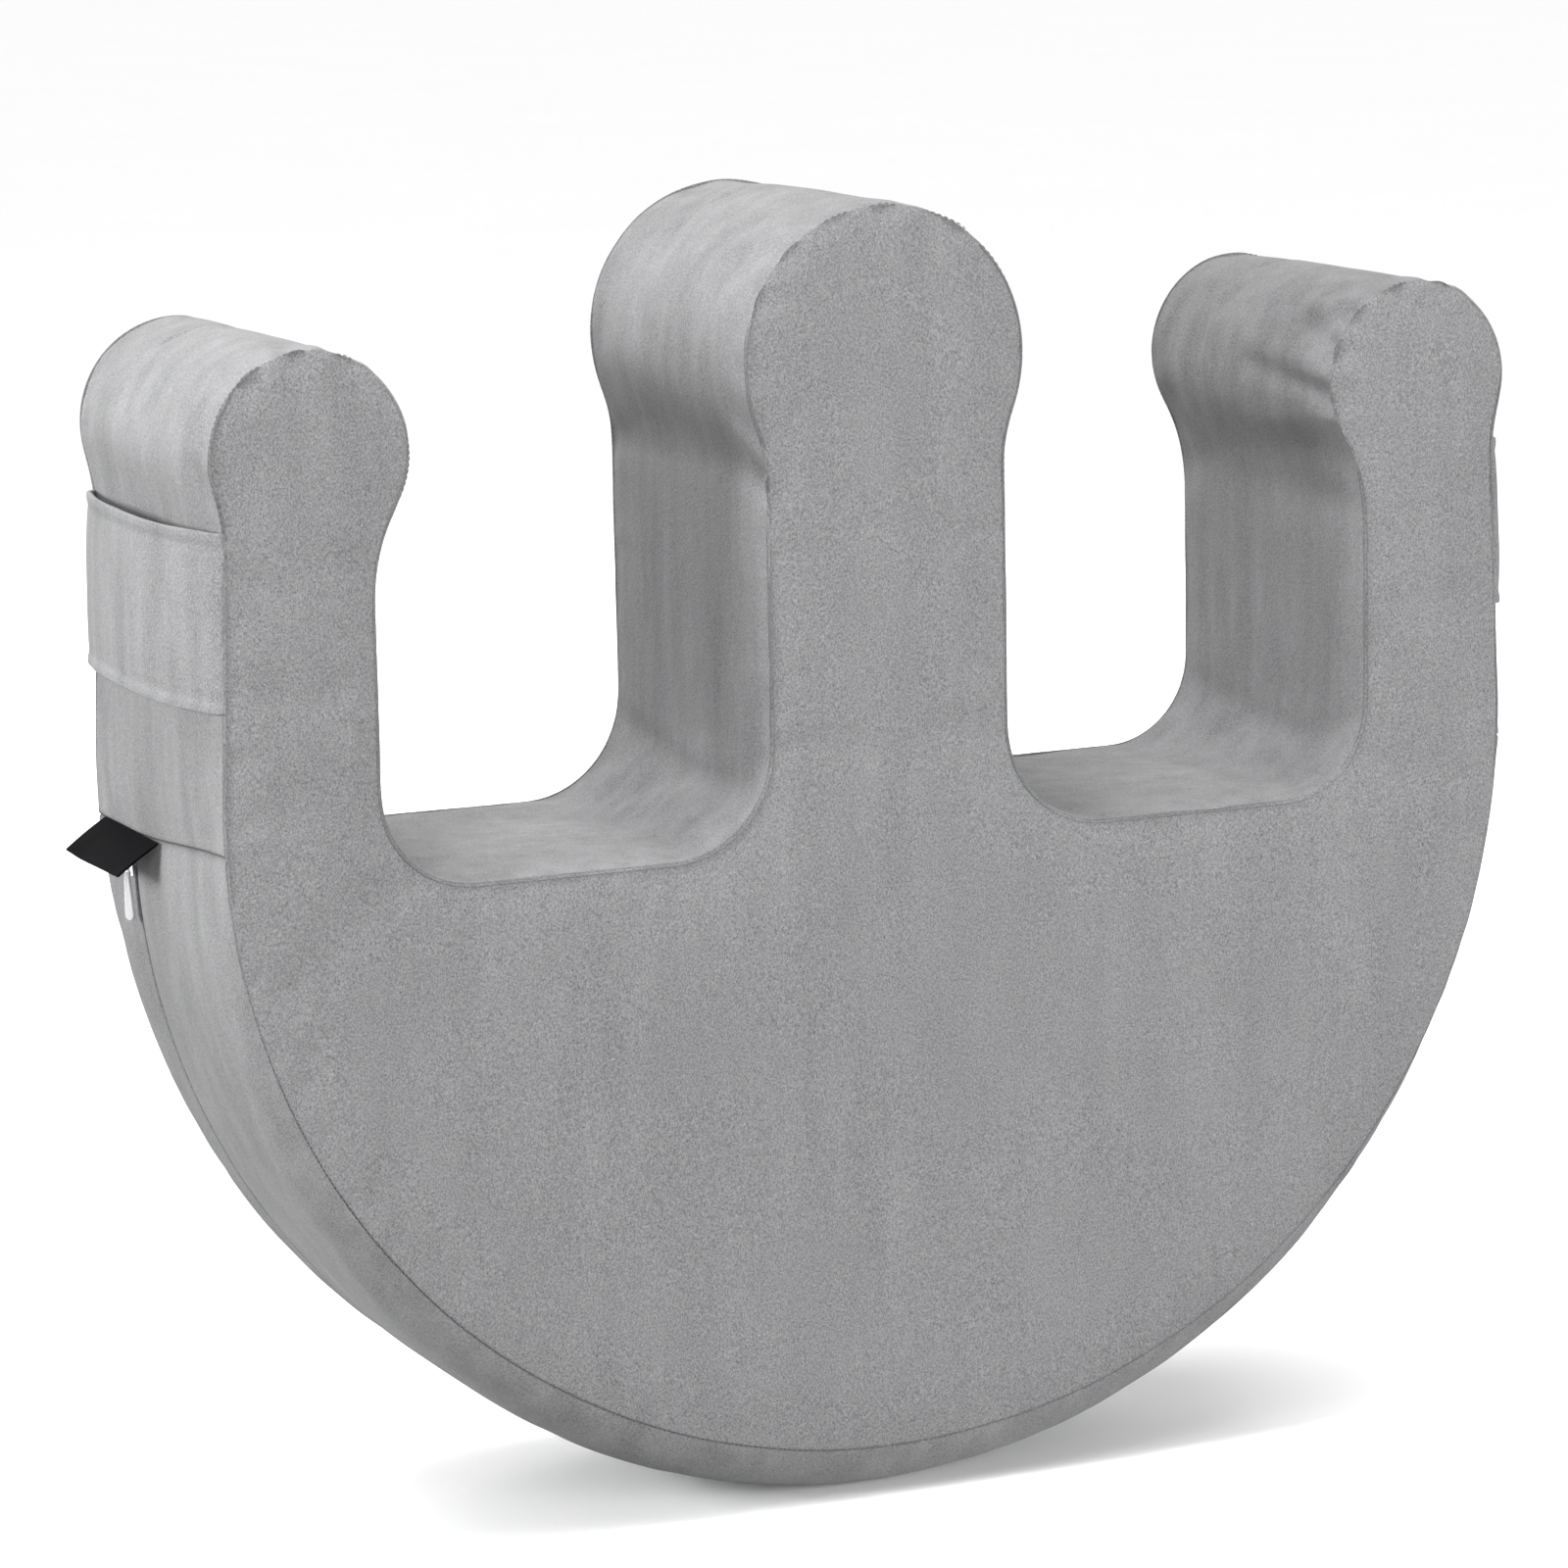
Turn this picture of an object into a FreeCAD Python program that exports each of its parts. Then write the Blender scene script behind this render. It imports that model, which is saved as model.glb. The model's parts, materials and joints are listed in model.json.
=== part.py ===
"""Positioning cushion with a rocker base: one foam block with three headed posts and two leg slots,
inside a sewn cover with an invisible zip round the rocker, two hand straps and a sewn-in label.

Frame: X across the cushion, Y from the front panel to the back panel, Z up.
The origin is the point at mid depth where the rocker touches the floor. Millimetres.
"""
import FreeCAD
import Part
import math
import os
import Sketcher
from FreeCAD import Placement, Rotation, Vector

# name, size, what it is
SIZES = [
    ("rocker_radius", 300.0, "radius of the rocker, and half the width of the cushion"),
    ("cushion_depth", 174.0, "from the front panel's face to the back panel's face"),
    ("panel_cloth", 2.0, "thickness of the two flat panels"),
    ("gusset_cloth", 2.0, "thickness of the long strips between the panels"),
    ("seam_lift", 27.0, "how far the panels' lower edge lies above the rocker's running line"),
    ("shoulder_width", 38.0, "depth over which the running surface rounds off to a panel"),
    ("cross_seam_rise", 2.0, "cross seams above the rocker's centre"),
    ("slot_drop", 10.0, "bottom of the leg slots below the rocker's centre"),
    ("side_post_width", 69.6, "side post at its neck, to the rocker's full width"),
    ("middle_post_half", 56.3, "half the width of the middle post"),
    ("side_head_radius", 44.2, "round head of a side post"),
    ("side_head_rise", 171.5, "centre of the side heads above the rocker's centre"),
    ("side_head_overhang", 1.8, "side head outside the rocker's full width"),
    ("side_neck_radius", 78.0, "hollow under a side head"),
    ("side_neck_inset", 3.6, "outer neck of a side post inside the rocker's full width"),
    ("middle_head_radius", 65.8, "round head of the middle post"),
    ("middle_head_rise", 196.0, "centre of the middle head above the rocker's centre"),
    ("middle_neck_radius", 55.8, "hollow under the middle head"),
    ("outer_corner_radius", 40.0, "bottom of a slot, beside a side post"),
    ("inner_corner_radius", 45.0, "bottom of a slot, beside the middle post"),
    ("strap_drop", 66.6, "lower edge of a hand strap below the narrowest part of the outer neck"),
    ("strap_height", 74.0, "hand strap, edge to edge"),
    ("strap_clear", 0.3, "sewn ends of a strap clear of the gusset"),
    ("strap_cloth", 2.4, "doubled cloth of a hand strap"),
    ("strap_bow", 11.0, "room for fingers behind the middle of a strap"),
    ("zip_setback", 51.0, "zip in front of the back panel's face"),
    ("zip_slit_half", 0.6, "half the slit between the two edges of cloth"),
    ("zip_gap_half", 0.7, "half the gap between the two tapes and between the two coils"),
    ("tape_width", 7.6, "zip tape, from the gap to its sewn edge"),
    ("tape_cloth", 0.6, "thickness of a zip tape"),
    ("coil_width", 1.8, "row of coil teeth, across the zip"),
    ("coil_height", 2.0, "row of coil teeth, inwards from the tape"),
    ("zip_start", 0.45, "angle below the rocker's centre where the zip starts, degrees"),
    ("stop_angle", 0.4, "length of a zip stop round the rocker, degrees"),
    ("bottom_stop_length", 2.0, "lower stop along the zip"),
    ("stop_grip", 0.3, "stop beyond the coil that it is clamped on"),
    ("slider_angle", 2.3, "the closed slider below the rocker's centre, degrees"),
    ("slider_length", 10.0, "slider along the zip"),
    ("slider_half_width", 4.1, "half the slider across the zip"),
    ("slider_wall", 1.0, "side walls of the slider"),
    ("slider_plate", 1.4, "inner plate of the slider"),
    ("slider_play", 0.5, "slider clear of the coils and tapes"),
    ("slider_post_half", 0.4, "half the post that passes between the coils"),
    ("slider_post_length", 5.0, "post along the zip"),
    ("saddle_clear", 0.5, "saddle above the cloth"),
    ("saddle_plate", 0.8, "plate of the saddle outside the cloth"),
    ("saddle_length", 8.0, "saddle along the zip"),
    ("saddle_half_width", 2.4, "half the saddle across the zip"),
    ("bail_wall", 0.9, "each ear of the bail"),
    ("bail_length", 3.0, "ears of the bail along the zip"),
    ("bail_height", 3.0, "ears of the bail above the saddle's plate"),
    ("pin_height", 1.9, "pin of the bail above the saddle's plate"),
    ("pin_radius", 0.6, "pin that the pull tab hangs on"),
    ("pin_play", 0.08, "pull tab's eye round the pin"),
    ("eye_radius", 1.35, "barrel at the top of the pull tab"),
    ("eye_side_play", 0.2, "barrel between the ears of the bail"),
    ("pull_length", 21.5, "from the pin to the centre of the pull's round end"),
    ("pull_end_radius", 2.5, "round end of the pull tab"),
    ("pull_thickness", 1.6, "pull tab across its blade"),
    ("label_width", 72.0, "woven label along the cross seam"),
    ("label_length", 21.0, "folded label from the seam to its fold"),
    ("label_thickness", 1.2, "two layers of ribbon"),
    ("label_gap", 0.9, "middle of the label's root outside the cloth"),
    ("label_droop", 33.0, "label below the level, degrees"),
    ("groove_clear", 0.4, "foam kept clear of the zip's tapes and slider"),
]

doc = FreeCAD.newDocument("PositioningCushion")
sheet = doc.addObject("Spreadsheet::Sheet", "Sizes")
for row, (alias, size, meaning) in enumerate(SIZES, start=1):
    sheet.set("A%d" % row, meaning)
    sheet.set("B%d" % row, repr(size))
    sheet.setAlias("B%d" % row, alias)
doc.recompute()


def value(alias):
    return float(sheet.get(alias))


# ---------------------------------------------------------------- places that several pieces share
radius = value("rocker_radius")
centre_z = radius
half_depth = value("cushion_depth") / 2
half_gusset = half_depth - value("panel_cloth")
seam_centre_z = centre_z + value("seam_lift")
cross_seam_z = centre_z + value("cross_seam_rise")
zip_y = half_depth - value("zip_setback")
head_top_z = centre_z + value("middle_head_rise") + value("middle_head_radius")

HALF_GUSSET = "(Sizes.cushion_depth / 2 - Sizes.panel_cloth)"
ZIP_Y = "(Sizes.cushion_depth / 2 - Sizes.zip_setback)"


# ---------------------------------------------------------------- outline of the cushion, in the XZ plane
def at(x, z, y=0.0):
    return Vector(x, y, z)


def line(start, end):
    return Part.LineSegment(start, end).toShape()


def arc(centre, start, end, bulge):
    """Arc from start to end about centre, through the side that the vector bulge points to."""
    reach = (start - centre).Length
    middle = (start - centre) + (end - centre)
    if middle.Length < 1e-6:
        middle = Vector(bulge)
    elif middle.dot(bulge) < 0:
        middle = middle * -1
    return Part.Arc(start, centre + middle.normalize() * reach, end).toShape()


def toward(centre, target, reach):
    return centre + (target - centre).normalize() * reach


def tangent_point(outside, centre, reach):
    """Where a line from outside touches the circle, on the side nearer to the Z axis."""
    span = outside - centre
    turn = math.degrees(math.acos(reach / span.Length))
    swing = Rotation(Vector(0, 1, 0), turn)
    other = Rotation(Vector(0, 1, 0), -turn)
    ways = [swing.multVec(span).normalize(), other.multVec(span).normalize()]
    found = [centre + way * reach for way in ways]
    return min(found, key=lambda point: point.x)


def neck_centre(head, head_radius, neck_x, neck_radius):
    """Centre of the hollow under a round head, on the upright x = neck_x, where the two circles touch."""
    reach = head_radius + neck_radius
    return at(neck_x, head.z - math.sqrt(reach ** 2 - (head.x - neck_x) ** 2))


side_head_radius = value("side_head_radius")
side_neck_radius = value("side_neck_radius")
post_face = radius - value("side_post_width")
side_head = at(radius + value("side_head_overhang") - side_head_radius, centre_z + value("side_head_rise"))
outer_neck = neck_centre(
    side_head, side_head_radius, radius - value("side_neck_inset") + side_neck_radius, side_neck_radius)
inner_neck = neck_centre(side_head, side_head_radius, post_face - side_neck_radius, side_neck_radius)

slot_z = centre_z - value("slot_drop")
outer_corner = value("outer_corner_radius")
inner_corner = value("inner_corner_radius")

middle_face = value("middle_post_half")
middle_head_radius = value("middle_head_radius")
middle_neck_radius = value("middle_neck_radius")
middle_head = at(0, centre_z + value("middle_head_rise"))
slot_neck = neck_centre(middle_head, middle_head_radius, middle_face + middle_neck_radius, middle_neck_radius)


def right_half(inset):
    """Edges from the right cross seam over the side post, the slot and the middle post to the top centre.

    inset moves the outline into the foam, by the thickness of the cloth.
    """
    side_hollow = side_neck_radius + inset
    foot = at(radius - inset, cross_seam_z)
    shoulder = at(radius - inset, seam_centre_z)
    neck_start = tangent_point(shoulder, outer_neck, side_hollow)
    head_start = toward(outer_neck, side_head, side_hollow)
    head_end = toward(inner_neck, side_head, side_hollow)
    up, down, out = Vector(0, 0, 1), Vector(0, 0, -1), Vector(1, 0, 0)
    edges = [
        line(foot, shoulder),
        line(shoulder, neck_start),
        arc(outer_neck, neck_start, head_start, out * -1),
        arc(side_head, head_start, head_end, up),
        arc(inner_neck, head_end, at(post_face + inset, inner_neck.z), out),
    ]

    corner_a = at(post_face - outer_corner, slot_z + outer_corner)
    corner_b = at(middle_face + inner_corner, slot_z + inner_corner)
    wall_a = at(post_face + inset, corner_a.z)
    floor_a = at(corner_a.x, slot_z - inset)
    floor_b = at(corner_b.x, slot_z - inset)
    wall_b = at(middle_face - inset, corner_b.z)
    neck_b = at(middle_face - inset, slot_neck.z)
    dome_start = toward(slot_neck, middle_head, middle_neck_radius + inset)
    dome_top = middle_head + up * (middle_head_radius - inset)
    edges += [
        line(at(post_face + inset, inner_neck.z), wall_a),
        arc(corner_a, wall_a, floor_a, down),
        line(floor_a, floor_b),
        arc(corner_b, floor_b, wall_b, down),
        line(wall_b, neck_b),
        arc(slot_neck, neck_b, dome_start, out * -1),
        arc(middle_head, dome_start, dome_top, out + up),
    ]
    return edges


def upper_edges(inset, first=0):
    """Both halves of the outline from edge number first up, which leaves out the foot when it is 1."""
    right = right_half(inset)[first:]
    left = [edge.mirror(Vector(0, 0, 0), Vector(1, 0, 0)) for edge in right]
    return right + left


def face_of(edges):
    return Part.Face(Part.Wire(Part.__sortEdges__(edges)))


def panel_face():
    """A flat panel: the upper outline closed by the lower seam's half circle."""
    left, right = at(-radius, seam_centre_z), at(radius, seam_centre_z)
    rocker = arc(at(0, seam_centre_z), left, right, Vector(0, 0, -1))
    return face_of(upper_edges(0.0, first=1) + [rocker])


def strip_face():
    """Edge view of the upper gusset: the cloth between the outline and the foam."""
    cloth = value("gusset_cloth")
    ends = [line(at(s * radius, cross_seam_z), at(s * (radius - cloth), cross_seam_z)) for s in (-1, 1)]
    return face_of(upper_edges(0.0) + upper_edges(cloth) + ends)


def block_face():
    """Foam block before its rocker is cut: the upper outline closed by a deep rectangle."""
    cloth = value("gusset_cloth")
    half = radius - cloth
    depth_z = -cloth
    edges = upper_edges(cloth)
    edges += [line(at(s * half, cross_seam_z), at(s * half, depth_z)) for s in (-1, 1)]
    edges.append(line(at(-half, depth_z), at(half, depth_z)))
    return face_of(edges)


def feature(name, shape):
    thing = doc.addObject("Part::Feature", name)
    thing.Shape = shape
    return thing


def extrusion(name, face, length, start):
    """Face in the XZ plane, pushed along Y from start over length: both are words of the sheet."""
    base = feature(name + "_outline", face)
    solid = doc.addObject("Part::Extrusion", name)
    solid.Base = base
    solid.DirMode = "Custom"
    solid.Dir = Vector(0, 1, 0)
    solid.Solid = True
    solid.setExpression("LengthFwd", length)
    solid.setExpression("Placement.Base.y", start)
    return solid


# ---------------------------------------------------------------- crowned rocker
def crown_blank(name, inset):
    """Half disc and the block above it, swept without turning along a path that dips to the running line.

    The path is level across the middle of the depth and curves up by seam_lift at both panels, so the
    running surface is a true half circle there and its seams lie on the same half circle, raised.
    """
    lift = value("seam_lift") + inset
    shoulder = value("shoulder_width") + inset
    level = half_gusset - shoulder
    bend = (shoulder ** 2 + lift ** 2) / (2 * lift)
    half_turn = math.asin(shoulder / bend) / 2
    sag = bend - bend * math.cos(half_turn)
    run = level + bend * math.sin(half_turn)
    path = Part.Wire([
        Part.Arc(at(0, lift, -half_gusset), at(0, sag, -run), at(0, 0, -level)).toShape(),
        line(at(0, 0, -level), at(0, 0, level)),
        Part.Arc(at(0, 0, level), at(0, sag, run), at(0, lift, half_gusset)).toShape(),
    ])
    half = radius - inset
    top_z = head_top_z + lift
    left, right = at(-half, centre_z + lift, -half_gusset), at(half, centre_z + lift, -half_gusset)
    section = Part.Wire([
        arc(at(0, centre_z + lift, -half_gusset), left, right, Vector(0, 0, -1)),
        line(right, at(half, top_z, -half_gusset)),
        line(at(half, top_z, -half_gusset), at(-half, top_z, -half_gusset)),
        line(at(-half, top_z, -half_gusset), left),
    ])
    sweep = Part.BRepOffsetAPI.MakePipeShell(path)
    sweep.setTrihedronMode(Vector(0, 0, 0), Vector(0, 1, 0))
    sweep.add(section)
    sweep.build()
    sweep.makeSolid()
    return feature(name, sweep.shape())


# ---------------------------------------------------------------- small helpers for the hardware
def box(name, length, width, height, centre, low):
    """Block centred on X and Y at centre, with its lower face at low: every size is a formula."""
    block = doc.addObject("Part::Box", name)
    block.setExpression("Length", length)
    block.setExpression("Width", width)
    block.setExpression("Height", height)
    block.setExpression("Placement.Base.x", "-(%s) / 2" % length)
    block.setExpression("Placement.Base.y", "%s - (%s) / 2" % (centre, width))
    block.setExpression("Placement.Base.z", low)
    return block


def fuse(name, shapes):
    joined = doc.addObject("Part::MultiFuse", name)
    joined.Shapes = shapes
    return joined


def cut(name, base, tool):
    result = doc.addObject("Part::Cut", name)
    result.Base = base
    result.Tool = tool
    return result


def common(name, shapes):
    result = doc.addObject("Part::MultiCommon", name)
    result.Shapes = shapes
    return result


def origin_plane(body, role):
    return next(plane for plane in body.Origin.OriginFeatures if plane.Role == role)


def zip_ring(name, near, width, inner, height, start, sweep, side):
    """Ring of rectangular section round the rocker's axis, beside the zip's middle line.

    near is its distance from that line, inner its inner radius and sweep the angle that it covers, all
    formulas. start is where it begins, in degrees below the rocker's centre on the left. side is -1
    towards the front panel and 1 towards the back panel.
    """
    body = doc.addObject("PartDesign::Body", name)
    sketch = body.newObject("Sketcher::SketchObject", name + "_section")
    sketch.AttachmentSupport = [(origin_plane(body, "XY_Plane"), "")]
    sketch.MapMode = "FlatFace"
    corners = [Vector(1, 1, 0), Vector(3, 1, 0), Vector(3, 2, 0), Vector(1, 2, 0)]
    for index in range(4):
        sketch.addGeometry(Part.LineSegment(corners[index], corners[(index + 1) % 4]), False)
    for index in range(4):
        sketch.addConstraint(Sketcher.Constraint("Coincident", index, 2, (index + 1) % 4, 1))
    for index in (0, 2):
        sketch.addConstraint(Sketcher.Constraint("Horizontal", index))
        sketch.addConstraint(Sketcher.Constraint("Vertical", index + 1))
    sized = [
        ("DistanceX", (-1, 1, 0, 1, 1.0), inner),
        ("DistanceY", (-1, 1, 0, 1, 1.0), near),
        ("DistanceX", (0, 1, 0, 2, 2.0), height),
        ("DistanceY", (1, 1, 1, 2, 1.0), width),
    ]
    for kind, places, formula in sized:
        index = sketch.addConstraint(Sketcher.Constraint(kind, *places))
        sketch.setExpression("Constraints[%d]" % index, formula)
    doc.recompute()
    turn = body.newObject("PartDesign::Revolution", name + "_turn")
    turn.Profile = sketch
    turn.ReferenceAxis = (sketch, ["V_Axis"])
    turn.setExpression("Angle", sweep)
    body.Tip = turn
    doc.recompute()
    # towards the front the ring turns on from its start; towards the back it turns home from its end
    angle = math.radians(start if side < 0 else start + turn.Angle.Value)
    radial = Vector(-math.cos(angle), 0, -math.sin(angle))
    across = Vector(0, side, 0)
    third = radial.cross(across)
    body.Placement = Placement(Vector(0, zip_y, centre_z), Rotation(radial, across, third, "XYZ"))
    body.setExpression("Placement.Base.y", ZIP_Y)
    body.setExpression("Placement.Base.z", "Sizes.rocker_radius")
    return body


def half_ring(name, inner, outer, near, far):
    """Lower half of a ring round the rocker's axis, from depth near to depth far: all are formulas."""
    discs = []
    for part_name, reach in (("_outer", outer), ("_inner", inner)):
        disc = doc.addObject("Part::Cylinder", name + part_name)
        disc.Angle = 180
        across_zip = Rotation(Vector(1, 0, 0), Vector(0, 0, -1), Vector(0, 1, 0), "XYZ")
        disc.Placement = Placement(Vector(), across_zip)
        disc.setExpression("Radius", reach)
        disc.setExpression("Height", "(%s) - (%s)" % (far, near))
        disc.setExpression("Placement.Base.y", near)
        disc.setExpression("Placement.Base.z", "Sizes.rocker_radius")
        discs.append(disc)
    return cut(name, discs[0], discs[1])


# ---------------------------------------------------------------- foam
OUTER_CLOTH = "Sizes.rocker_radius"
INNER_CLOTH = OUTER_CLOTH + " - Sizes.gusset_cloth"
TAPE_INNER = INNER_CLOTH + " - Sizes.tape_cloth"
COIL_INNER = TAPE_INNER + " - Sizes.coil_height"
PLATE_OUTER = COIL_INNER + " - Sizes.slider_play"
PLATE_INNER = PLATE_OUTER + " - Sizes.slider_plate"
TAPE_REACH = "(Sizes.zip_gap_half + Sizes.tape_width + Sizes.groove_clear)"
SLIDER_REACH = "(Sizes.slider_half_width + Sizes.groove_clear)"

outer_crown = crown_blank("outer_crown", 0.0)
inner_crown = crown_blank("inner_crown", value("gusset_cloth"))
foam_block = extrusion("foam_block", block_face(), "2 * " + HALF_GUSSET, "-" + HALF_GUSSET)
foam_blank = common("foam_blank", [foam_block, inner_crown])
tape_groove = half_ring(
    "tape_groove", TAPE_INNER, OUTER_CLOTH, ZIP_Y + " - " + TAPE_REACH, ZIP_Y + " + " + TAPE_REACH)
slider_groove = half_ring(
    "slider_groove", PLATE_INNER + " - Sizes.groove_clear", OUTER_CLOTH,
    ZIP_Y + " - " + SLIDER_REACH, ZIP_Y + " + " + SLIDER_REACH)
foam_core = cut("foam_core", foam_blank, fuse("zip_groove", [tape_groove, slider_groove]))

# ---------------------------------------------------------------- cover
cover_front_panel = extrusion(
    "cover_front_panel", panel_face(), "Sizes.panel_cloth", "-Sizes.cushion_depth / 2")
cover_back_panel = extrusion("cover_back_panel", panel_face(), "Sizes.panel_cloth", HALF_GUSSET)
gusset_upper = extrusion("gusset_upper", strip_face(), "2 * " + HALF_GUSSET, "-" + HALF_GUSSET)
rocker_cloth = cut("rocker_cloth", outer_crown, inner_crown)


def lower_gusset(name, near, far):
    """Rocker cloth below the cross seams, between two depths given as formulas."""
    reach = box(name + "_reach", "3 * Sizes.rocker_radius", "(%s) - (%s)" % (far, near),
                "Sizes.rocker_radius + Sizes.cross_seam_rise + Sizes.panel_cloth",
                "((%s) + (%s)) / 2" % (far, near), "-Sizes.panel_cloth")
    return common(name, [rocker_cloth, reach])


gusset_lower_front = lower_gusset("gusset_lower_front", "-" + HALF_GUSSET, ZIP_Y + " - Sizes.zip_slit_half")
gusset_lower_back = lower_gusset("gusset_lower_back", ZIP_Y + " + Sizes.zip_slit_half", HALF_GUSSET)

# ---------------------------------------------------------------- zip
WHOLE_ZIP = "180 - 2 * Sizes.zip_start"
zip_start = value("zip_start")
stop_angle = value("stop_angle")
zip_pieces = []
for side, place in ((-1, "front"), (1, "back")):
    zip_pieces.append(zip_ring(
        "zip_tape_" + place, "Sizes.zip_gap_half", "Sizes.tape_width", TAPE_INNER, "Sizes.tape_cloth",
        zip_start, WHOLE_ZIP, side))
    zip_pieces.append(zip_ring(
        "zip_coil_" + place, "Sizes.zip_gap_half", "Sizes.coil_width", COIL_INNER, "Sizes.coil_height",
        zip_start + stop_angle, WHOLE_ZIP + " - 2 * Sizes.stop_angle", side))

top_stops = [
    zip_ring("top_stop_" + place, "Sizes.zip_gap_half", "Sizes.coil_width + Sizes.stop_grip", COIL_INNER,
             "Sizes.coil_height", zip_start, "Sizes.stop_angle", side)
    for side, place in ((-1, "front"), (1, "back"))
]
zip_top_stops = doc.addObject("Part::Compound", "zip_top_stops")
zip_top_stops.Links = top_stops


def on_zip(name, shapes, angle):
    """Join shapes built upright on the rocker's axis (Z outwards, Y across) and turn them to their angle."""
    piece = fuse(name, shapes) if len(shapes) > 1 else doc.addObject("Part::Compound", name)
    if len(shapes) == 1:
        piece.Links = shapes
    piece.Placement = Placement(Vector(), Rotation(Vector(0, 1, 0), -(90 + angle)))
    piece.setExpression("Placement.Base.y", ZIP_Y)
    piece.setExpression("Placement.Base.z", "Sizes.rocker_radius")
    return piece


bottom_stop_block = box(
    "bottom_stop_block", "Sizes.bottom_stop_length",
    "2 * (Sizes.zip_gap_half + Sizes.coil_width + Sizes.stop_grip)", "Sizes.coil_height", "0", COIL_INNER)
zip_bottom_stop = on_zip("zip_bottom_stop", [bottom_stop_block], 180 - zip_start - stop_angle / 2)

SADDLE_INNER = OUTER_CLOTH + " + Sizes.saddle_clear"
SADDLE_OUTER = SADDLE_INNER + " + Sizes.saddle_plate"
slider_angle = value("slider_angle")
side_wall = "Sizes.slider_half_width - Sizes.slider_wall / 2"
slider_parts = [
    box("slider_plate_block", "Sizes.slider_length", "2 * Sizes.slider_half_width", "Sizes.slider_plate",
        "0", PLATE_INNER),
    box("slider_post", "Sizes.slider_post_length", "2 * Sizes.slider_post_half",
        "Sizes.slider_play + Sizes.coil_height + Sizes.tape_cloth + Sizes.gusset_cloth + Sizes.saddle_clear",
        "0", PLATE_OUTER),
]
for sign, place in (("-", "front"), ("", "back")):
    slider_parts.append(box(
        "slider_wall_" + place, "Sizes.slider_length", "Sizes.slider_wall", "Sizes.coil_height",
        "%s(%s)" % (sign, side_wall), PLATE_OUTER))
slider_parts.append(box(
    "saddle", "Sizes.saddle_length", "2 * Sizes.saddle_half_width", "Sizes.saddle_plate", "0", SADDLE_INNER))
ear_centre = "Sizes.saddle_half_width - Sizes.bail_wall / 2"
for sign, place in (("-", "front"), ("", "back")):
    slider_parts.append(box(
        "bail_ear_" + place, "Sizes.bail_length", "Sizes.bail_wall", "Sizes.bail_height",
        "%s(%s)" % (sign, ear_centre), SADDLE_OUTER))


def cross_pin(name, reach, half_width, height):
    """Round bar along Y, centred on the bail: all sizes are formulas."""
    pin = doc.addObject("Part::Cylinder", name)
    pin.Placement = Placement(Vector(), Rotation(Vector(1, 0, 0), -90))
    pin.setExpression("Radius", reach)
    pin.setExpression("Height", "2 * (%s)" % half_width)
    pin.setExpression("Placement.Base.y", "-(%s)" % half_width)
    pin.setExpression("Placement.Base.z", height)
    return pin


PIN_HEIGHT = SADDLE_OUTER + " + Sizes.pin_height"
EYE_HALF = "Sizes.saddle_half_width - Sizes.bail_wall - Sizes.eye_side_play"
slider_parts.append(cross_pin("bail_pin", "Sizes.pin_radius", "Sizes.saddle_half_width", PIN_HEIGHT))
zip_slider = on_zip("zip_slider", slider_parts, slider_angle)


# ---------------------------------------------------------------- pull tab, hanging from the bail's pin
pin_reach = radius + sum(value(word) for word in ("saddle_clear", "saddle_plate", "pin_height"))
slider_turn = math.radians(slider_angle)
pin_place = Vector(-pin_reach * math.cos(slider_turn), zip_y, centre_z - pin_reach * math.sin(slider_turn))


# the blade of the pull is a little narrower at its top than the eye it hangs from
BLADE_TOP = 0.9


def pull_blade():
    """Teardrop in a PartDesign body: its sketch lies across the zip, and it is padded both ways."""
    body = doc.addObject("PartDesign::Body", "pull_blade")
    sketch = body.newObject("Sketcher::SketchObject", "pull_outline")
    sketch.AttachmentSupport = [(origin_plane(body, "XY_Plane"), "")]
    sketch.MapMode = "FlatFace"
    top = value("eye_radius") * BLADE_TOP
    end = value("pull_end_radius")
    reach = value("pull_length")
    lean = math.asin((end - top) / reach)
    slope, fall = math.cos(lean), math.sin(lean)
    left_top, right_top = (Vector(side * top * slope, -top * fall, 0) for side in (-1, 1))
    left_foot, right_foot = (Vector(side * end * slope, -reach - end * fall, 0) for side in (-1, 1))
    sketch.addGeometry(Part.LineSegment(left_top, right_top), False)
    sketch.addGeometry(Part.LineSegment(right_top, right_foot), False)
    sketch.addGeometry(Part.Arc(right_foot, Vector(0, -reach - end, 0), left_foot), False)
    sketch.addGeometry(Part.LineSegment(left_foot, left_top), False)
    doc.recompute()
    pad = body.newObject("PartDesign::Pad", "pull_pad")
    pad.Profile = sketch
    pad.Midplane = True
    pad.setExpression("Length", "Sizes.pull_thickness")
    body.Tip = pad
    body.Placement = Placement(Vector(), Rotation(Vector(0, 1, 0), Vector(0, 0, 1), Vector(1, 0, 0), "XYZ"))
    return body


pull_barrel = cross_pin("pull_barrel", "Sizes.eye_radius", EYE_HALF, "0")
pull_bore = cross_pin("pull_bore", "Sizes.pin_radius + Sizes.pin_play", "Sizes.saddle_half_width", "0")
zip_pull_tab = cut("zip_pull_tab", fuse("pull_solid", [pull_blade(), pull_barrel]), pull_bore)
zip_pull_tab.Placement = Placement(pin_place, Rotation())

# ---------------------------------------------------------------- hand straps
outer_edges = right_half(0.0)
side_start, side_end = [vertex.Point for vertex in outer_edges[1].Vertexes]
side_way = (side_end - side_start).normalize()
strap_foot_z = outer_neck.z - value("strap_drop")
strap_foot = side_start + side_way * ((strap_foot_z - side_start.z) / side_way.z)


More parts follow.
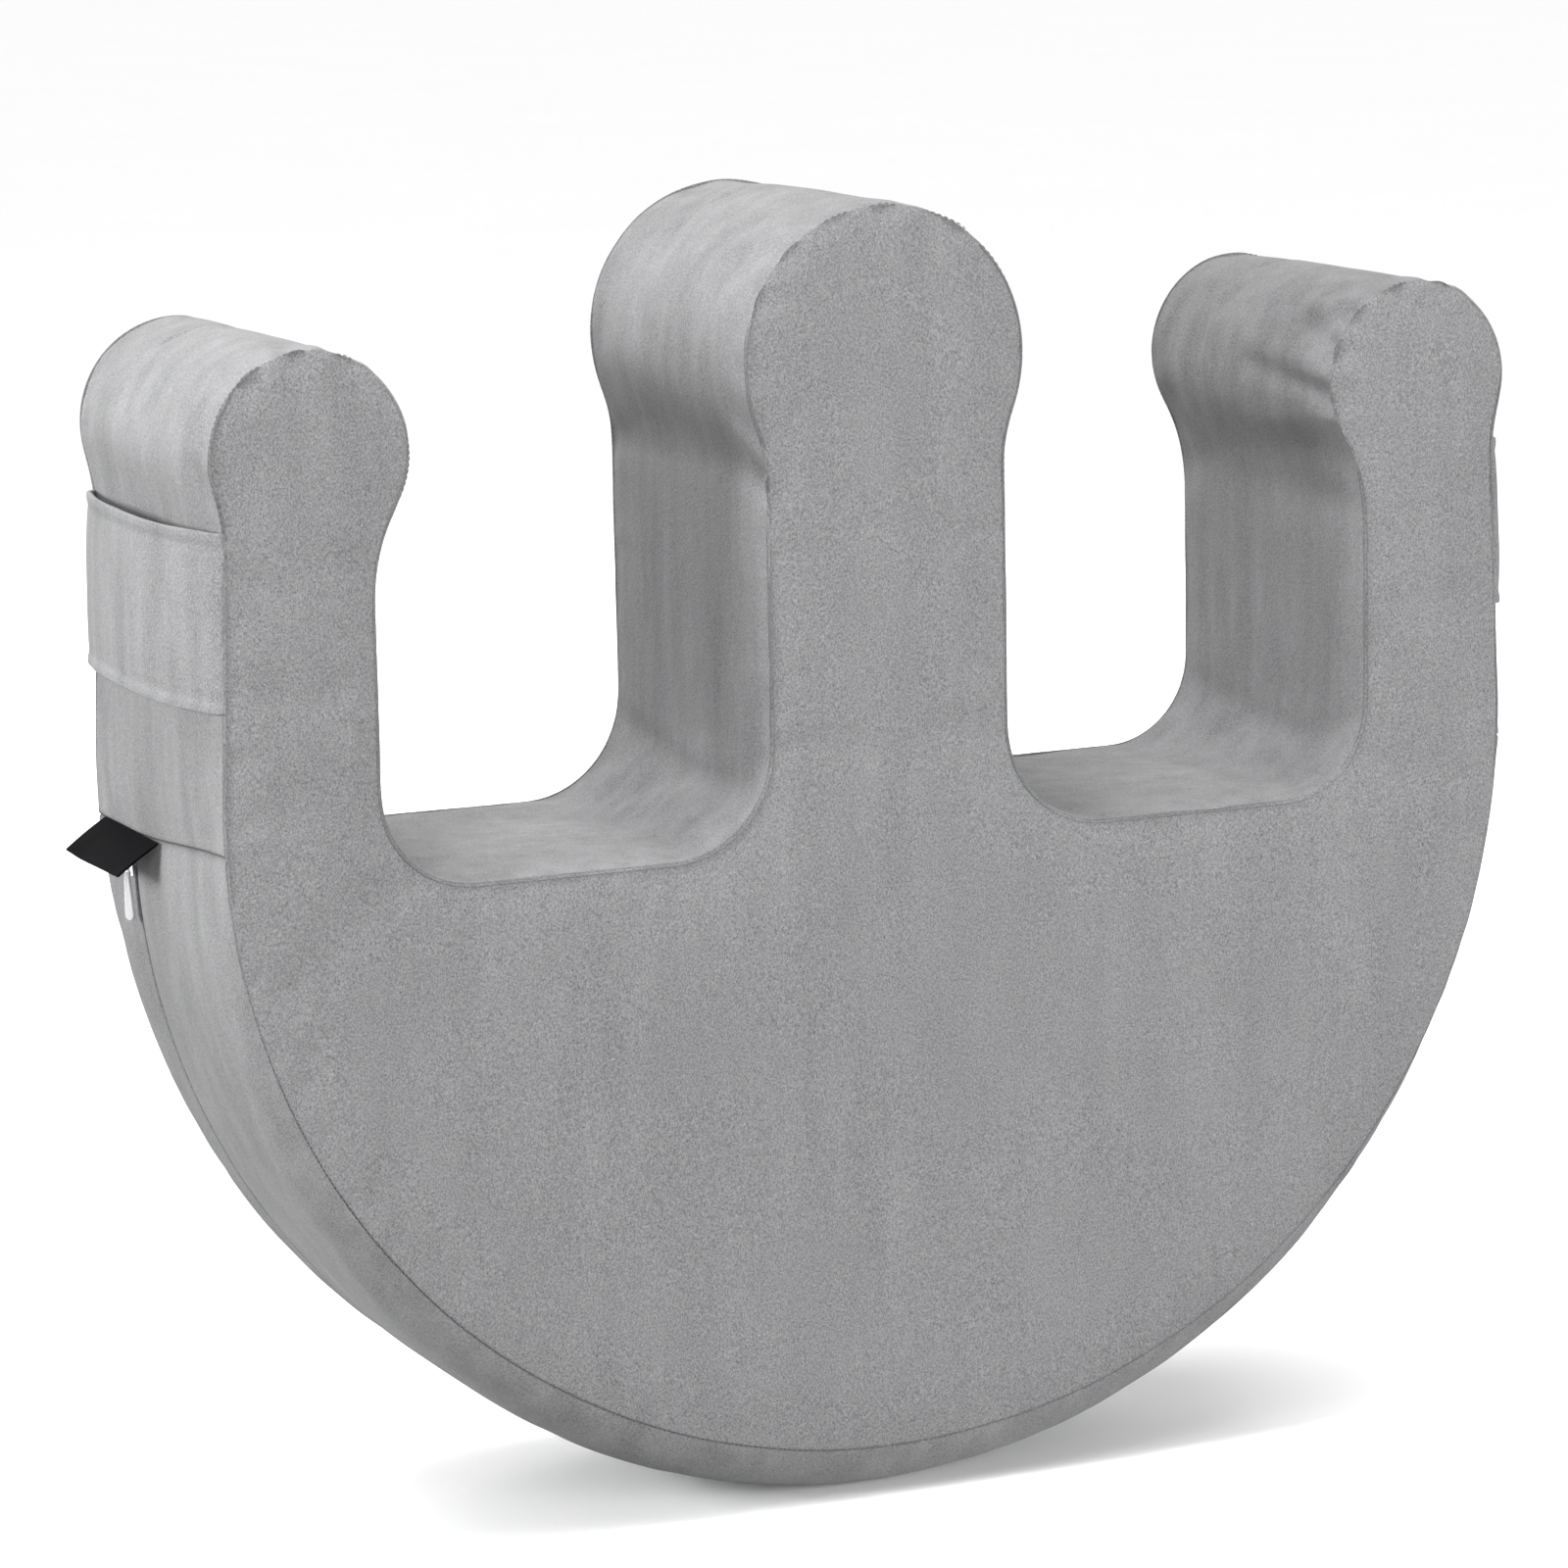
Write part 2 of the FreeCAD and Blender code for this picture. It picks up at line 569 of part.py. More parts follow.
def strap(name, side):
    """Band bowed away from the side of the cushion, along the side's slight lean, between both panels."""
    def plan_arc(grow, bow):
        ends = [Vector(strap_foot.x + grow, y, strap_foot.z) for y in (-half_gusset, half_gusset)]
        middle = Vector(strap_foot.x + grow + bow, 0, strap_foot.z)
        return Part.Arc(ends[0], middle, ends[1]).toShape(), ends

    inner, inner_ends = plan_arc(value("strap_clear"), value("strap_bow"))
    outer, outer_ends = plan_arc(value("strap_clear") + value("strap_cloth"), value("strap_bow"))
    closing = [line(inner_ends[index], outer_ends[index]) for index in (0, 1)]
    band = face_of([inner, outer] + closing).extrude(side_way * (value("strap_height") / side_way.z))
    if side < 0:
        band = band.mirror(Vector(0, 0, 0), Vector(1, 0, 0))
    return feature(name, band)


hand_strap_left = strap("hand_strap_left", -1)
hand_strap_right = strap("hand_strap_right", 1)

# ---------------------------------------------------------------- label in the left cross seam
woven_label = doc.addObject("Part::Box", "woven_label")
woven_label.setExpression("Length", "Sizes.label_length")
woven_label.setExpression("Width", "Sizes.label_width")
woven_label.setExpression("Height", "Sizes.label_thickness")
label_hinge = Vector(-radius - value("label_gap"), zip_y, cross_seam_z)
label_turn = Rotation(Vector(0, 1, 0), 180 - value("label_droop"))
label_corner = Vector(0, -value("label_width") / 2, -value("label_thickness") / 2)
woven_label.Placement = Placement(label_hinge + label_turn.multVec(label_corner), label_turn)

# ---------------------------------------------------------------- check and write
doc.recompute()
PIECES = [
    foam_core, cover_front_panel, cover_back_panel, gusset_upper, gusset_lower_front, gusset_lower_back,
    *zip_pieces, zip_top_stops, zip_bottom_stop, zip_slider, zip_pull_tab,
    hand_strap_left, hand_strap_right, woven_label,
]
for thing in doc.Objects:
    if "Invalid" in thing.State or "Error" in thing.State:
        raise RuntimeError("%s failed: %s" % (thing.Name, thing.State))
os.makedirs("parts", exist_ok=True)
for piece in PIECES:
    if piece.Shape.isNull() or not piece.Shape.isValid():
        raise RuntimeError("%s has no valid shape" % piece.Label)
    piece.Shape.exportStep("parts/%s.step" % piece.Label)
    print("%-22s %2d solids %12.1f mm3 %s" % (
        piece.Label, len(piece.Shape.Solids), piece.Shape.Volume, piece.Shape.BoundBox))
print("pull tab's pin", pin_place)
print("label's hinge", label_hinge)
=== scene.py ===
"""Looks of the positioning cushion: a soft plush cover over a foam block with three headed posts, with its
seams, hand straps, hidden zip and label. Metres, in the frame of the solid model."""
import json
import math

import bmesh
import bpy
from mathutils import Matrix, Vector, kdtree, noise


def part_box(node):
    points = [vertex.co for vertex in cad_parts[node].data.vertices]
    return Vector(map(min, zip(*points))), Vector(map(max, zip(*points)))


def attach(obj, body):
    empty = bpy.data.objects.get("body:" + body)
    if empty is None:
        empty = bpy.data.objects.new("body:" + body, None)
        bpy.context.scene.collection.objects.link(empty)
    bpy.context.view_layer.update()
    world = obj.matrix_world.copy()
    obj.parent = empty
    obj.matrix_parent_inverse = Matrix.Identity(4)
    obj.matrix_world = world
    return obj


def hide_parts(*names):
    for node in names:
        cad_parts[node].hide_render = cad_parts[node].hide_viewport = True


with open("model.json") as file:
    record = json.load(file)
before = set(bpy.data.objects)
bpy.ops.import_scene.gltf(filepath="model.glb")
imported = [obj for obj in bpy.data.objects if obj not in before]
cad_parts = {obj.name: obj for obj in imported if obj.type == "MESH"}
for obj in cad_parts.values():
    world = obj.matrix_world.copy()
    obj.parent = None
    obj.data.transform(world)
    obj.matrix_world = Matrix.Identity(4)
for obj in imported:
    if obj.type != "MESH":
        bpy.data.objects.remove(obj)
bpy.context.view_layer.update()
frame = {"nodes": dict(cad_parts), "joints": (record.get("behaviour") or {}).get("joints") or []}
MM = 0.001

# ---------------------------------------------------------------- places read from the frame
panel_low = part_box("cover_front_panel")[0]
rocker_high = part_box("gusset_lower_front")[1]
back_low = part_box("gusset_lower_back")[0]
slider_low, slider_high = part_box("zip_slider")
strap_low, strap_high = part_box("hand_strap_right")
label_low, label_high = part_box("woven_label")

RADIUS = rocker_high.x                       # the rocker, and half the cushion's width
CENTRE_Z = RADIUS                            # the rocker touches the floor at z = 0
FACE = -panel_low.y                          # panel faces lie at this depth on both sides
SEAM_LIFT = panel_low.z                      # the panels' lower edge above the running line
SHOULDER = 38 * MM                           # depth over which the running surface rounds off
CROSS_SEAM = rocker_high.z                   # seam between the upper gusset and the lower ones
ZIP_FRONT, ZIP_BACK = rocker_high.y, back_low.y
ZIP_Y = (ZIP_FRONT + ZIP_BACK) / 2
PANEL_SEAM_Y = FACE - 2 * MM                 # the panels' seams, a little inside their faces

TOUCH = 0.01 * MM                            # two points nearer than this are the same
NEAR = 1 * MM                                # and a point nearer to a line than this is on it
GRID = 5.5 * MM                              # spacing of the cloth's mesh along the strip
PANEL_GRID = 9 * MM                          # spacing inside the flat panels
CLOTH = 1.6 * MM                             # thickness of the plush
START_IN = 0.5 * MM                          # the skin starts this far inside before it is filled
SWELL = 2.6 * MM                             # the furthest that a point may move when filled
FILL_FRAMES = 20                             # steps of the cloth simulation
ROW_STEPS = (0, 0.7 * MM, 2.2 * MM, 4.8 * MM, 9 * MM)           # rows of mesh beside a panel seam
PANEL_INSETS = (0.7 * MM, 1.5 * MM, 2.8 * MM, 4.4 * MM, 5 * MM)  # rings of mesh inside a panel's seam
ZIP_CALM = 7 * MM                            # half the width of the smooth lane in which the slider runs
SEAM_EASE = 8 * MM                           # how much higher the cross seams end at the front seam
SEAM_EASE_REACH = 24 * MM                    # how far from a cross seam the cloth follows it
NECK_Z = 436 * MM                            # where cloth creases under the side heads
MIDDLE_NECK_RISE = 16 * MM                   # and how much higher it does under the middle head
MIDDLE_POST = 150 * MM                       # points nearer the middle than this are on the middle post
WRINKLES_FROM = CROSS_SEAM + 115 * MM        # wrinkles grow stronger between these two heights
WRINKLES_FULL = CROSS_SEAM + 160 * MM
LEFT_HEAD = (-257.6 * MM, 471.5 * MM, 44.2 * MM)     # centre across, centre height, radius
MIDDLE_HEAD = (0.0, 496 * MM, 65.8 * MM)
RIGHT_HEAD = (257.6 * MM, 471.5 * MM, 44.2 * MM)
GATHER_REACH = 14 * MM                       # how far from a head's round surface its gathers count
GATHER_WIDTH = 4.6 * MM                      # of one fold, along the seam
GATHER_DEPTH = 1.7                           # all gathers together, times this deep
PANEL_GATHER = 8 * MM                        # how far a gather runs on into the flat panel
TUCKS = (                                    # gathers at the front seam: head, degrees from its top, slant,
    (MIDDLE_HEAD, -64, 0.30, 34, 2.4),       # length and depth in mm
    (MIDDLE_HEAD, -41, -0.25, 44, 2.9),
    (MIDDLE_HEAD, -20, 0.20, 32, 2.2),
    (MIDDLE_HEAD, 3, -0.35, 40, 2.7),
    (MIDDLE_HEAD, 32, 0.15, 28, 2.0),
    (LEFT_HEAD, -34, -0.25, 36, 2.3),
    (LEFT_HEAD, -6, 0.20, 30, 2.6),
    (LEFT_HEAD, 24, -0.15, 26, 1.8),
    (MIDDLE_HEAD, -133, 0.50, 22, 2.4),
    (RIGHT_HEAD, -122, -0.10, 80, 1.8),
    (RIGHT_HEAD, -97, 0.12, 110, 2.4),
    (RIGHT_HEAD, -70, 0.30, 46, 3.4),
    (RIGHT_HEAD, -42, -0.30, 40, 3.2),
    (RIGHT_HEAD, -13, 0.20, 34, 2.9),
    (RIGHT_HEAD, 18, -0.20, 28, 2.0),
)

FRONT, BACK, UPPER, LOWER_FRONT, LOWER_BACK, ZIP_GAP = range(6)
PIECES = {FRONT: "cover_front", BACK: "cover_back", UPPER: "band_upper",
          LOWER_FRONT: "band_lower_front", LOWER_BACK: "band_lower_back"}


# ---------------------------------------------------------------- small helpers
def smooth_step(value, low, high):
    share = min(1.0, max(0.0, (value - low) / (high - low)))
    return share * share * (3 - 2 * share)


def ends_of(edges):
    """The edges' vertices, each once and always in the same order."""
    return list(dict.fromkeys(v for e in edges for v in e.verts))


def edges_of(faces):
    """The faces' edges, each once and always in the same order."""
    return list(dict.fromkeys(e for f in faces for e in f.edges))


def put_in_order(bm):
    """Sorts a mesh by place, so that every run gives the same one."""
    for elements, place in ((bm.verts, lambda v: v.co),
                            (bm.edges, lambda e: e.verts[0].co + e.verts[1].co),
                            (bm.faces, lambda f: f.calc_center_median())):
        ordered = sorted(elements, key=lambda e: tuple(round(c, 6) for c in place(e)))
        rank = {element: index for index, element in enumerate(ordered)}
        elements.sort(key=rank.get)


def merged_copy(node):
    """A CAD node's mesh with its loose triangles joined up."""
    bm = bmesh.new()
    bm.from_mesh(frame["nodes"][node].data)
    bmesh.ops.remove_doubles(bm, verts=bm.verts, dist=TOUCH)
    bm.normal_update()
    return bm


def piece_from(bm, name, smooth=True):
    mesh = bpy.data.meshes.new(name)
    bm.to_mesh(mesh)
    bm.free()
    piece = bpy.data.objects.new(name, mesh)
    bpy.context.scene.collection.objects.link(piece)
    for polygon in mesh.polygons:
        polygon.use_smooth = smooth
    return piece


def finish_piece(piece, body, material, replaced=()):
    piece.data.materials.clear()
    piece.data.materials.append(material)
    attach(piece, body)
    if replaced:
        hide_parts(*replaced)


def thicken(piece, thickness):
    """Gives a sheet its thickness inwards, and rounds it with one subdivision."""
    wall = piece.modifiers.new("cloth thickness", "SOLIDIFY")
    wall.thickness = thickness
    wall.offset = -1.0
    finer = piece.modifiers.new("finer", "SUBSURF")
    finer.levels = finer.render_levels = 1


def point_tree(verts):
    """Finds the nearest of some vertices, at the places where they are now."""
    tree = kdtree.KDTree(len(verts))
    for index, vert in enumerate(verts):
        tree.insert(vert.co, index)
    tree.balance()
    return tree


# ---------------------------------------------------------------- the cover as one closed skin
def lift(y):
    """How far the running surface at depth y lies above the running line."""
    radius = (SHOULDER ** 2 + SEAM_LIFT ** 2) / (2 * SEAM_LIFT)
    over = max(0.0, min(SHOULDER, abs(y) - (FACE - SHOULDER)))
    return radius - math.sqrt(radius ** 2 - over ** 2)


def on_rocker(home):
    centre = CENTRE_Z + SEAM_LIFT
    return home.z < centre and abs(math.hypot(home.x, home.z - centre) - RADIUS) < NEAR


def eased_up(point, y):
    """Lifts the cross seams a little towards the front seam, along the surface that they lie on."""
    share = 1 - min(1.0, abs(point.z - CROSS_SEAM) / SEAM_EASE_REACH)
    if share <= 0 or abs(point.x) < 0.9 * RADIUS:
        return point
    z = point.z + SEAM_EASE * share * smooth_step(-y, -ZIP_Y, FACE)
    drop = max(0.0, CENTRE_Z + lift(y) - z)
    return Vector((math.copysign(math.sqrt(RADIUS ** 2 - drop ** 2), point.x), y, z))


def strip_place(home, y):
    """Where a point of the panel's edge lies on the strip at depth y."""
    if home.z > CENTRE_Z + SEAM_LIFT or not on_rocker(home):
        return Vector((home.x, y, home.z))
    return eased_up(rocker_place(home, y), y)


def rocker_place(home, y):
    """Where a point of the panel's round edge lies on the rocker at depth y."""
    centre = CENTRE_Z + lift(y)
    side = math.copysign(1.0, home.x)
    if home.z > CROSS_SEAM:
        drop = max(0.0, centre - home.z)
        return Vector((side * math.sqrt(RADIUS ** 2 - drop ** 2), y, home.z))
    first = math.asin((CENTRE_Z + SEAM_LIFT - CROSS_SEAM) / RADIUS)
    angle = math.atan2(CENTRE_Z + SEAM_LIFT - home.z, abs(home.x))
    share = (angle - first) / (math.pi / 2 - first)
    straight = max(CROSS_SEAM - centre, 0.0)
    dip = math.asin(max(centre - CROSS_SEAM, 0.0) / RADIUS)
    run = share * (straight + (math.pi / 2 - dip) * RADIUS)
    if run < straight:
        return Vector((side * RADIUS, y, CROSS_SEAM - run))
    turn = dip + (run - straight) / RADIUS
    return Vector((side * RADIUS * math.cos(turn), y, centre - RADIUS * math.sin(turn)))


def cover_outline():
    """The edge of the front panel's face as a ring of short edges, cut where the cross seams meet it."""
    bm = merged_copy("cover_front_panel")
    on_face = -FACE + 0.1 * MM
    other = [f for f in bm.faces if f.normal.y > -0.9 or f.calc_center_median().y > on_face]
    bmesh.ops.delete(bm, geom=other, context="FACES")
    inner = [e for e in bm.edges if len(e.link_faces) == 2]
    bmesh.ops.delete(bm, geom=bm.faces[:], context="FACES_ONLY")
    bmesh.ops.delete(bm, geom=inner, context="EDGES")
    bmesh.ops.remove_doubles(bm, verts=bm.verts, dist=0.6 * GRID)
    cuts = {}
    for edge in bm.edges:
        cuts.setdefault(round(edge.calc_length() / GRID) - 1, []).append(edge)
    for count, edges in cuts.items():
        if count > 0:
            bmesh.ops.subdivide_edges(bm, edges=edges, cuts=count)
    outer = [e for e in bm.edges if all(on_rocker(v.co) for v in e.verts)]
    bmesh.ops.bisect_plane(bm, geom=outer + ends_of(outer), dist=NEAR,
                           plane_co=(0, 0, CROSS_SEAM), plane_no=(0, 0, 1))
    for vert in bm.verts:
        if on_rocker(vert.co) and abs(vert.co.z - CROSS_SEAM) <= NEAR:
            vert.co.z = CROSS_SEAM
    return bm


def depth_rows():
    """Depths of the strip's rows: close together at the seams and the zip, even between them."""
    rows = [-PANEL_SEAM_Y + step for step in ROW_STEPS]
    by_zip, beside = 0.7 * MM, 2 * MM
    for low, high in ((rows[-1], ZIP_FRONT - beside), (ZIP_BACK + beside, PANEL_SEAM_Y - ROW_STEPS[-1])):
        steps = round((high - low) / GRID)
        rows += [low + (high - low) * i / steps for i in range(1, steps + 1) if low < 0 or i < steps]
        if low < 0:
            rows += [ZIP_FRONT - by_zip, ZIP_FRONT, ZIP_BACK, ZIP_BACK + by_zip, ZIP_BACK + beside]
    return rows + [PANEL_SEAM_Y - step for step in reversed(ROW_STEPS)]


def marked(bm, layer):
    """Faces that carry a mark in the layer."""
    return [f for f in bm.faces if f[layer]]


def panel_grid(bm, flat, faces):
    """Insets and cuts one panel's flat face into a mesh fine enough to be cloth."""
    for step in PANEL_INSETS:
        bmesh.ops.inset_region(bm, faces=faces, thickness=step, use_even_offset=True, use_boundary=True)
    for face in faces:
        face[flat] = 1
    for axis in (Vector((1, 0, 0)), Vector((0, 0, 1))):
        for step in range(1, int(2 * RADIUS / PANEL_GRID)):
            place = axis * (-RADIUS + (step + 0.5) * PANEL_GRID)
            if axis.z:
                place.z += RADIUS
            region = marked(bm, flat)
            edges = edges_of(region)
            bmesh.ops.bisect_plane(bm, geom=region + edges + ends_of(edges), dist=2 * TOUCH,
                                   plane_co=place, plane_no=axis)
    bmesh.ops.triangulate(bm, faces=[f for f in marked(bm, flat) if len(f.verts) > 4])
    bmesh.ops.dissolve_degenerate(bm, edges=edges_of(marked(bm, flat)), dist=1.6 * MM)
    for face in bm.faces:
        face[flat] = 0


def cover_skin():
    """Front panel, strip and back panel as one closed skin. A face's material_index is its piece's code."""
    bm = cover_outline()
    home = bm.verts.layers.float_vector.new("home")
    # the "seam" layer holds how near each point is to a seam; the plush material paints seam shade from it
    bm.verts.layers.float.new("seam")
    flat = bm.faces.layers.int.new("flat")
    for vert in bm.verts:
        vert[home] = vert.co
    rows = depth_rows()
    ring = bm.edges[:]
    first_ring = ring
    for vert in bm.verts:
        vert.co = strip_place(vert[home], rows[0])
    for y in rows[1:]:
        grown = bmesh.ops.extrude_edge_only(bm, edges=ring)["geom"]
        fresh = {g for g in grown if isinstance(g, bmesh.types.BMVert)}
        for vert in fresh:
            vert.co = strip_place(vert[home], y)
        ring = [g for g in grown if isinstance(g, bmesh.types.BMEdge) and fresh.issuperset(g.verts)]
    for face in bm.faces:
        low = all(on_rocker(v[home]) and v[home].z <= CROSS_SEAM + TOUCH for v in face.verts)
        middle = face.calc_center_median().y
        face.material_index = UPPER
        if low:
            face.material_index = LOWER_FRONT if middle < ZIP_FRONT else LOWER_BACK
            if ZIP_FRONT < middle < ZIP_BACK:
                face.material_index = ZIP_GAP
    for edges, part in ((first_ring, FRONT), (ring, BACK)):
        faces = bmesh.ops.holes_fill(bm, edges=edges, sides=0)["faces"]
        for face in faces:
            face.material_index = part
        panel_grid(bm, flat, faces)
    bmesh.ops.recalc_face_normals(bm, faces=bm.faces[:])
    put_in_order(bm)
    return bm, home


# ---------------------------------------------------------------- filling the skin
def seam_points(bm, home):
    """The skin's seam vertices: both panel seams, the cross seams and the zip's two edges."""
    points = []
    for vert in bm.verts:
        parts = {f.material_index for f in vert.link_faces}
        panel_seam = abs(abs(vert.co.y) - PANEL_SEAM_Y) < TOUCH and vert[home].length > 0
        cross = on_rocker(vert[home]) and abs(vert[home].z - CROSS_SEAM) < TOUCH
        if ZIP_GAP in parts or (any(part > BACK for part in parts) and (panel_seam or cross)):
            points.append(vert)
    return points


def draw_in(bm, distances):
    """Starts the skin a little small, with its seams drawn in further."""
    bm.normal_update()
    moves = []
    for vert, distance in zip(bm.verts, distances):
        cross = abs(vert.co.y) < FACE - 4 * MM and vert.co.z > CROSS_SEAM - 10 * MM
        groove = 0.35 * MM if cross else 0.9 * MM
        depth = START_IN + groove * math.exp(-(distance / (0.5 * MM)) ** 2)
        depth += 0.35 * MM * math.exp(-(distance / (3 * MM)) ** 2)
        moves.append(vert.normal * depth)
    for vert, move in zip(bm.verts, moves):
        vert.co -= move


def pin_weight(co, distance):
    """1 where the cloth can't move: on a seam, and close to the zip, where the slider runs."""
    if distance < 1.2 * MM:
        return 1.0
    if co.z < CROSS_SEAM and abs(co.y) < FACE - 10 * MM:
        return 1.0 - smooth_step(abs(co.y - ZIP_Y), ZIP_CALM, 14 * MM)
    return 0.0


def fill(skin, weights):
    """Cloth simulation with air inside: the skin swells between its seams, and its result is kept."""
    start = [vert.co.copy() for vert in skin.data.vertices]
    group = skin.vertex_groups.new(name="held")
    for index, weight in enumerate(weights):
        if weight > 0:
            group.add([index], weight, "REPLACE")
    cloth = skin.modifiers.new("filling", "CLOTH")
    settings = cloth.settings
    settings.quality = 5
    settings.mass = 0.3
    settings.tension_stiffness = 15
    settings.compression_stiffness = 12
    settings.shear_stiffness = 6
    settings.bending_stiffness = 2.0
    settings.air_damping = 2
    settings.vertex_group_mass = group.name
    settings.pin_stiffness = 1
    settings.shrink_min = -0.004
    settings.use_pressure = True
    settings.uniform_pressure_force = 4
    settings.effector_weights.gravity = 0
    cloth.collision_settings.use_collision = False
    cloth.point_cache.frame_start = 1
    cloth.point_cache.frame_end = FILL_FRAMES
    scene = bpy.context.scene
    for number in range(1, FILL_FRAMES + 1):
        scene.frame_set(number)
    filled = skin.evaluated_get(bpy.context.evaluated_depsgraph_get()).data
    moved = [vert.co.copy() for vert in filled.vertices]
    skin.modifiers.remove(cloth)
    skin.vertex_groups.clear()
    scene.frame_set(1)
    for vert, before, after in zip(skin.data.vertices, start, moved):
        move = after - before
        if move.length > 0:
            move *= SWELL * math.tanh(move.length / SWELL) / move.length
        vert.co = before + move


def nearest_on_seam(tree, co):
    """The seam point nearest to co, blended between the two closest seam vertices."""
    (one, _, near), (two, _, far) = tree.find_n(co, 2)
    share = far / (near + far) if near + far > 0 else 1.0
    return one * share + two * (1 - share)


def ripple(at, size, seed):
    """Smooth noise from -1 to 1 with bumps of about the given size."""
    return noise.noise(Vector((at.x, at.y, at.z)) / size + Vector((seed, 2 * seed, 3 * seed)))


def valleys(at, size, width, seed):
    """Valleys of gathered cloth along the zero lines of smooth noise: -1 in a valley, 0 on the backs."""
    return -math.exp(-(ripple(at, size, seed) / width) ** 2)


def gathers(co, on_strip):
    """Folds that start at the front seam of the heads, where the band is eased round the curve."""
    height = 0.0
    for (across, up, radius), degrees, slant, length, depth in TUCKS:
        out = Vector((co.x - across, 0, co.z - up))
        if abs(out.length - radius) > GATHER_REACH or co.z < NECK_Z:
            continue
        inward = co.y + FACE if on_strip else radius - out.length
        angle = math.atan2(out.x, out.z) - math.radians(degrees)
        aside = (radius * angle - slant * inward) / GATHER_WIDTH
        if on_strip:
            share = math.exp(-(inward / (length * MM)) ** 2)
        else:
            share = 0.4 * math.exp(-(inward / PANEL_GATHER) ** 2)
        fold_and_back = 0.6 * math.exp(-(aside - 1.7) ** 2) - math.exp(-aside ** 2)
        height += GATHER_DEPTH * depth * MM * share * fold_and_back
    return height


def detail_height(home, co, distance, seam_at, part):
    """How far a point of the filled skin moves out: puckers at seams, wrinkles and soft unevenness.

    Wrinkles are valleys that follow the seam, so they run across it and die out away from it."""
    on_strip = part > BACK
    along = Vector((home.x, 0.3 * co.y, home.z)) if on_strip else seam_at
    fade = 1 - math.exp(-(distance / (1.6 * MM)) ** 2)
    high = smooth_step(co.z, WRINKLES_FROM, WRINKLES_FULL)
    height = 0.5 * MM * ripple(co, 60 * MM, 3.1) + 0.25 * MM * ripple(co, 24 * MM, 9.7)
    pucker = 0.9 * MM * valleys(along, 11 * MM, 0.3, 1.3) * math.exp(-distance / (8 * MM))
    height += pucker * fade * (0.3 + 0.7 * high)
    patchy = 0.5 + 0.9 * ripple(co, 55 * MM, 7.7)
    if on_strip:
        wrinkle = valleys(along, 30 * MM, 0.22, 5.5) * patchy
        height += 3.2 * MM * wrinkle * high * math.exp(-distance / (30 * MM)) * fade
        slack = valleys(along, 46 * MM, 0.12, 2.2) * (0.5 + 0.8 * ripple(co, 70 * MM, 4.4))
        height += 1.1 * MM * slack * math.exp(-distance / (45 * MM)) * fade
        neck = NECK_Z + (MIDDLE_NECK_RISE if abs(home.x) < MIDDLE_POST else 0)
        neck += 5 * MM * ripple(co, 45 * MM, 6.6)
        crease = math.exp(-((co.z - neck) / (3.6 * MM)) ** 2) * (0.55 + 0.9 * ripple(co, 60 * MM, 8.1))
        height -= 1.5 * MM * crease * fade
    else:
        pull = valleys(along, 26 * MM, 0.25, 6.1) * patchy
        height += 0.9 * MM * pull * (0.3 + 0.7 * high) * math.exp(-distance / (18 * MM)) * fade
    if abs(co.y) < FACE - 10 * MM and co.z < CROSS_SEAM:
        height *= smooth_step(abs(co.y - ZIP_Y), ZIP_CALM, 16 * MM)
    if co.y < 0:
        height += gathers(co, on_strip) * (0.35 + 0.65 * fade)
    return height


def add_detail(bm, home, distances, tree):
    """Moves the filled skin's points by their detail, along the skin's own direction out."""
    bm.normal_update()
    moves = []
    for vert, distance in zip(bm.verts, distances):
        part = max(f.material_index for f in vert.link_faces)
        seam_at = nearest_on_seam(tree, vert.co)
        moves.append(vert.normal * detail_height(vert[home], vert.co, distance, seam_at, part))
    for vert, move in zip(bm.verts, moves):
        vert.co += move


def paint_seam_shade(bm, distances):
    """Keeps how near each point is to a seam, for the painted shade that darkens the plush there: shade of
    the seam's crease, where the pile is also pressed.
    """
    near = bm.verts.layers.float["seam"]
    for vert, distance in zip(bm.verts, distances):
        vert[near] = math.exp(-(distance / (0.7 * MM)) ** 2)


def split_off(skin_bm, part, name):
    """One cut piece of the cover, with its own thickness."""
    bm = skin_bm.copy()
    other = [f for f in bm.faces if f.material_index != part]
    bmesh.ops.delete(bm, geom=other, context="FACES")
    for face in bm.faces:
        face.material_index = 0
    piece = piece_from(bm, name)
    thicken(piece, CLOTH)
    return piece


def sew(name, places):
    """A small stitch at each place. Made in short runs, because one long mesh is slow to add to."""
    run = 60
    whole = bmesh.new()
    for start in range(0, len(places), run):
        bm = bmesh.new()
        for place in places[start:start + run]:
            bmesh.ops.create_uvsphere(bm, u_segments=6, v_segments=4, radius=1, matrix=place)
        mesh = bpy.data.meshes.new("run of stitches")
        bm.to_mesh(mesh)
        bm.free()
        whole.from_mesh(mesh)
        bpy.data.meshes.remove(mesh)
    return piece_from(whole, name)


def make_seam_thread(skin_bm, thread):
    """Two short stitches on every stretch of seam between two cut pieces."""
    thickness, above = 0.26 * MM, 0.02 * MM
    skin_bm.normal_update()
    places = []
    for edge in skin_bm.edges:
        parts = {f.material_index for f in edge.link_faces}
        if len(parts) < 2 or ZIP_GAP in parts:
            continue
        one, two = sorted((v.co for v in edge.verts), key=tuple)
        out = (edge.verts[0].normal + edge.verts[1].normal).normalized()
        turn = (two - one).to_track_quat("X", "Z").to_matrix().to_4x4()
        shape = Matrix.Diagonal((edge.calc_length() * 0.19, thickness, thickness, 1))
        for share in (0.25, 0.75):
            places.append(Matrix.Translation(one.lerp(two, share) + out * above) @ turn @ shape)
    piece = sew("seam_thread", places)
    finish_piece(piece, "cushion", thread)


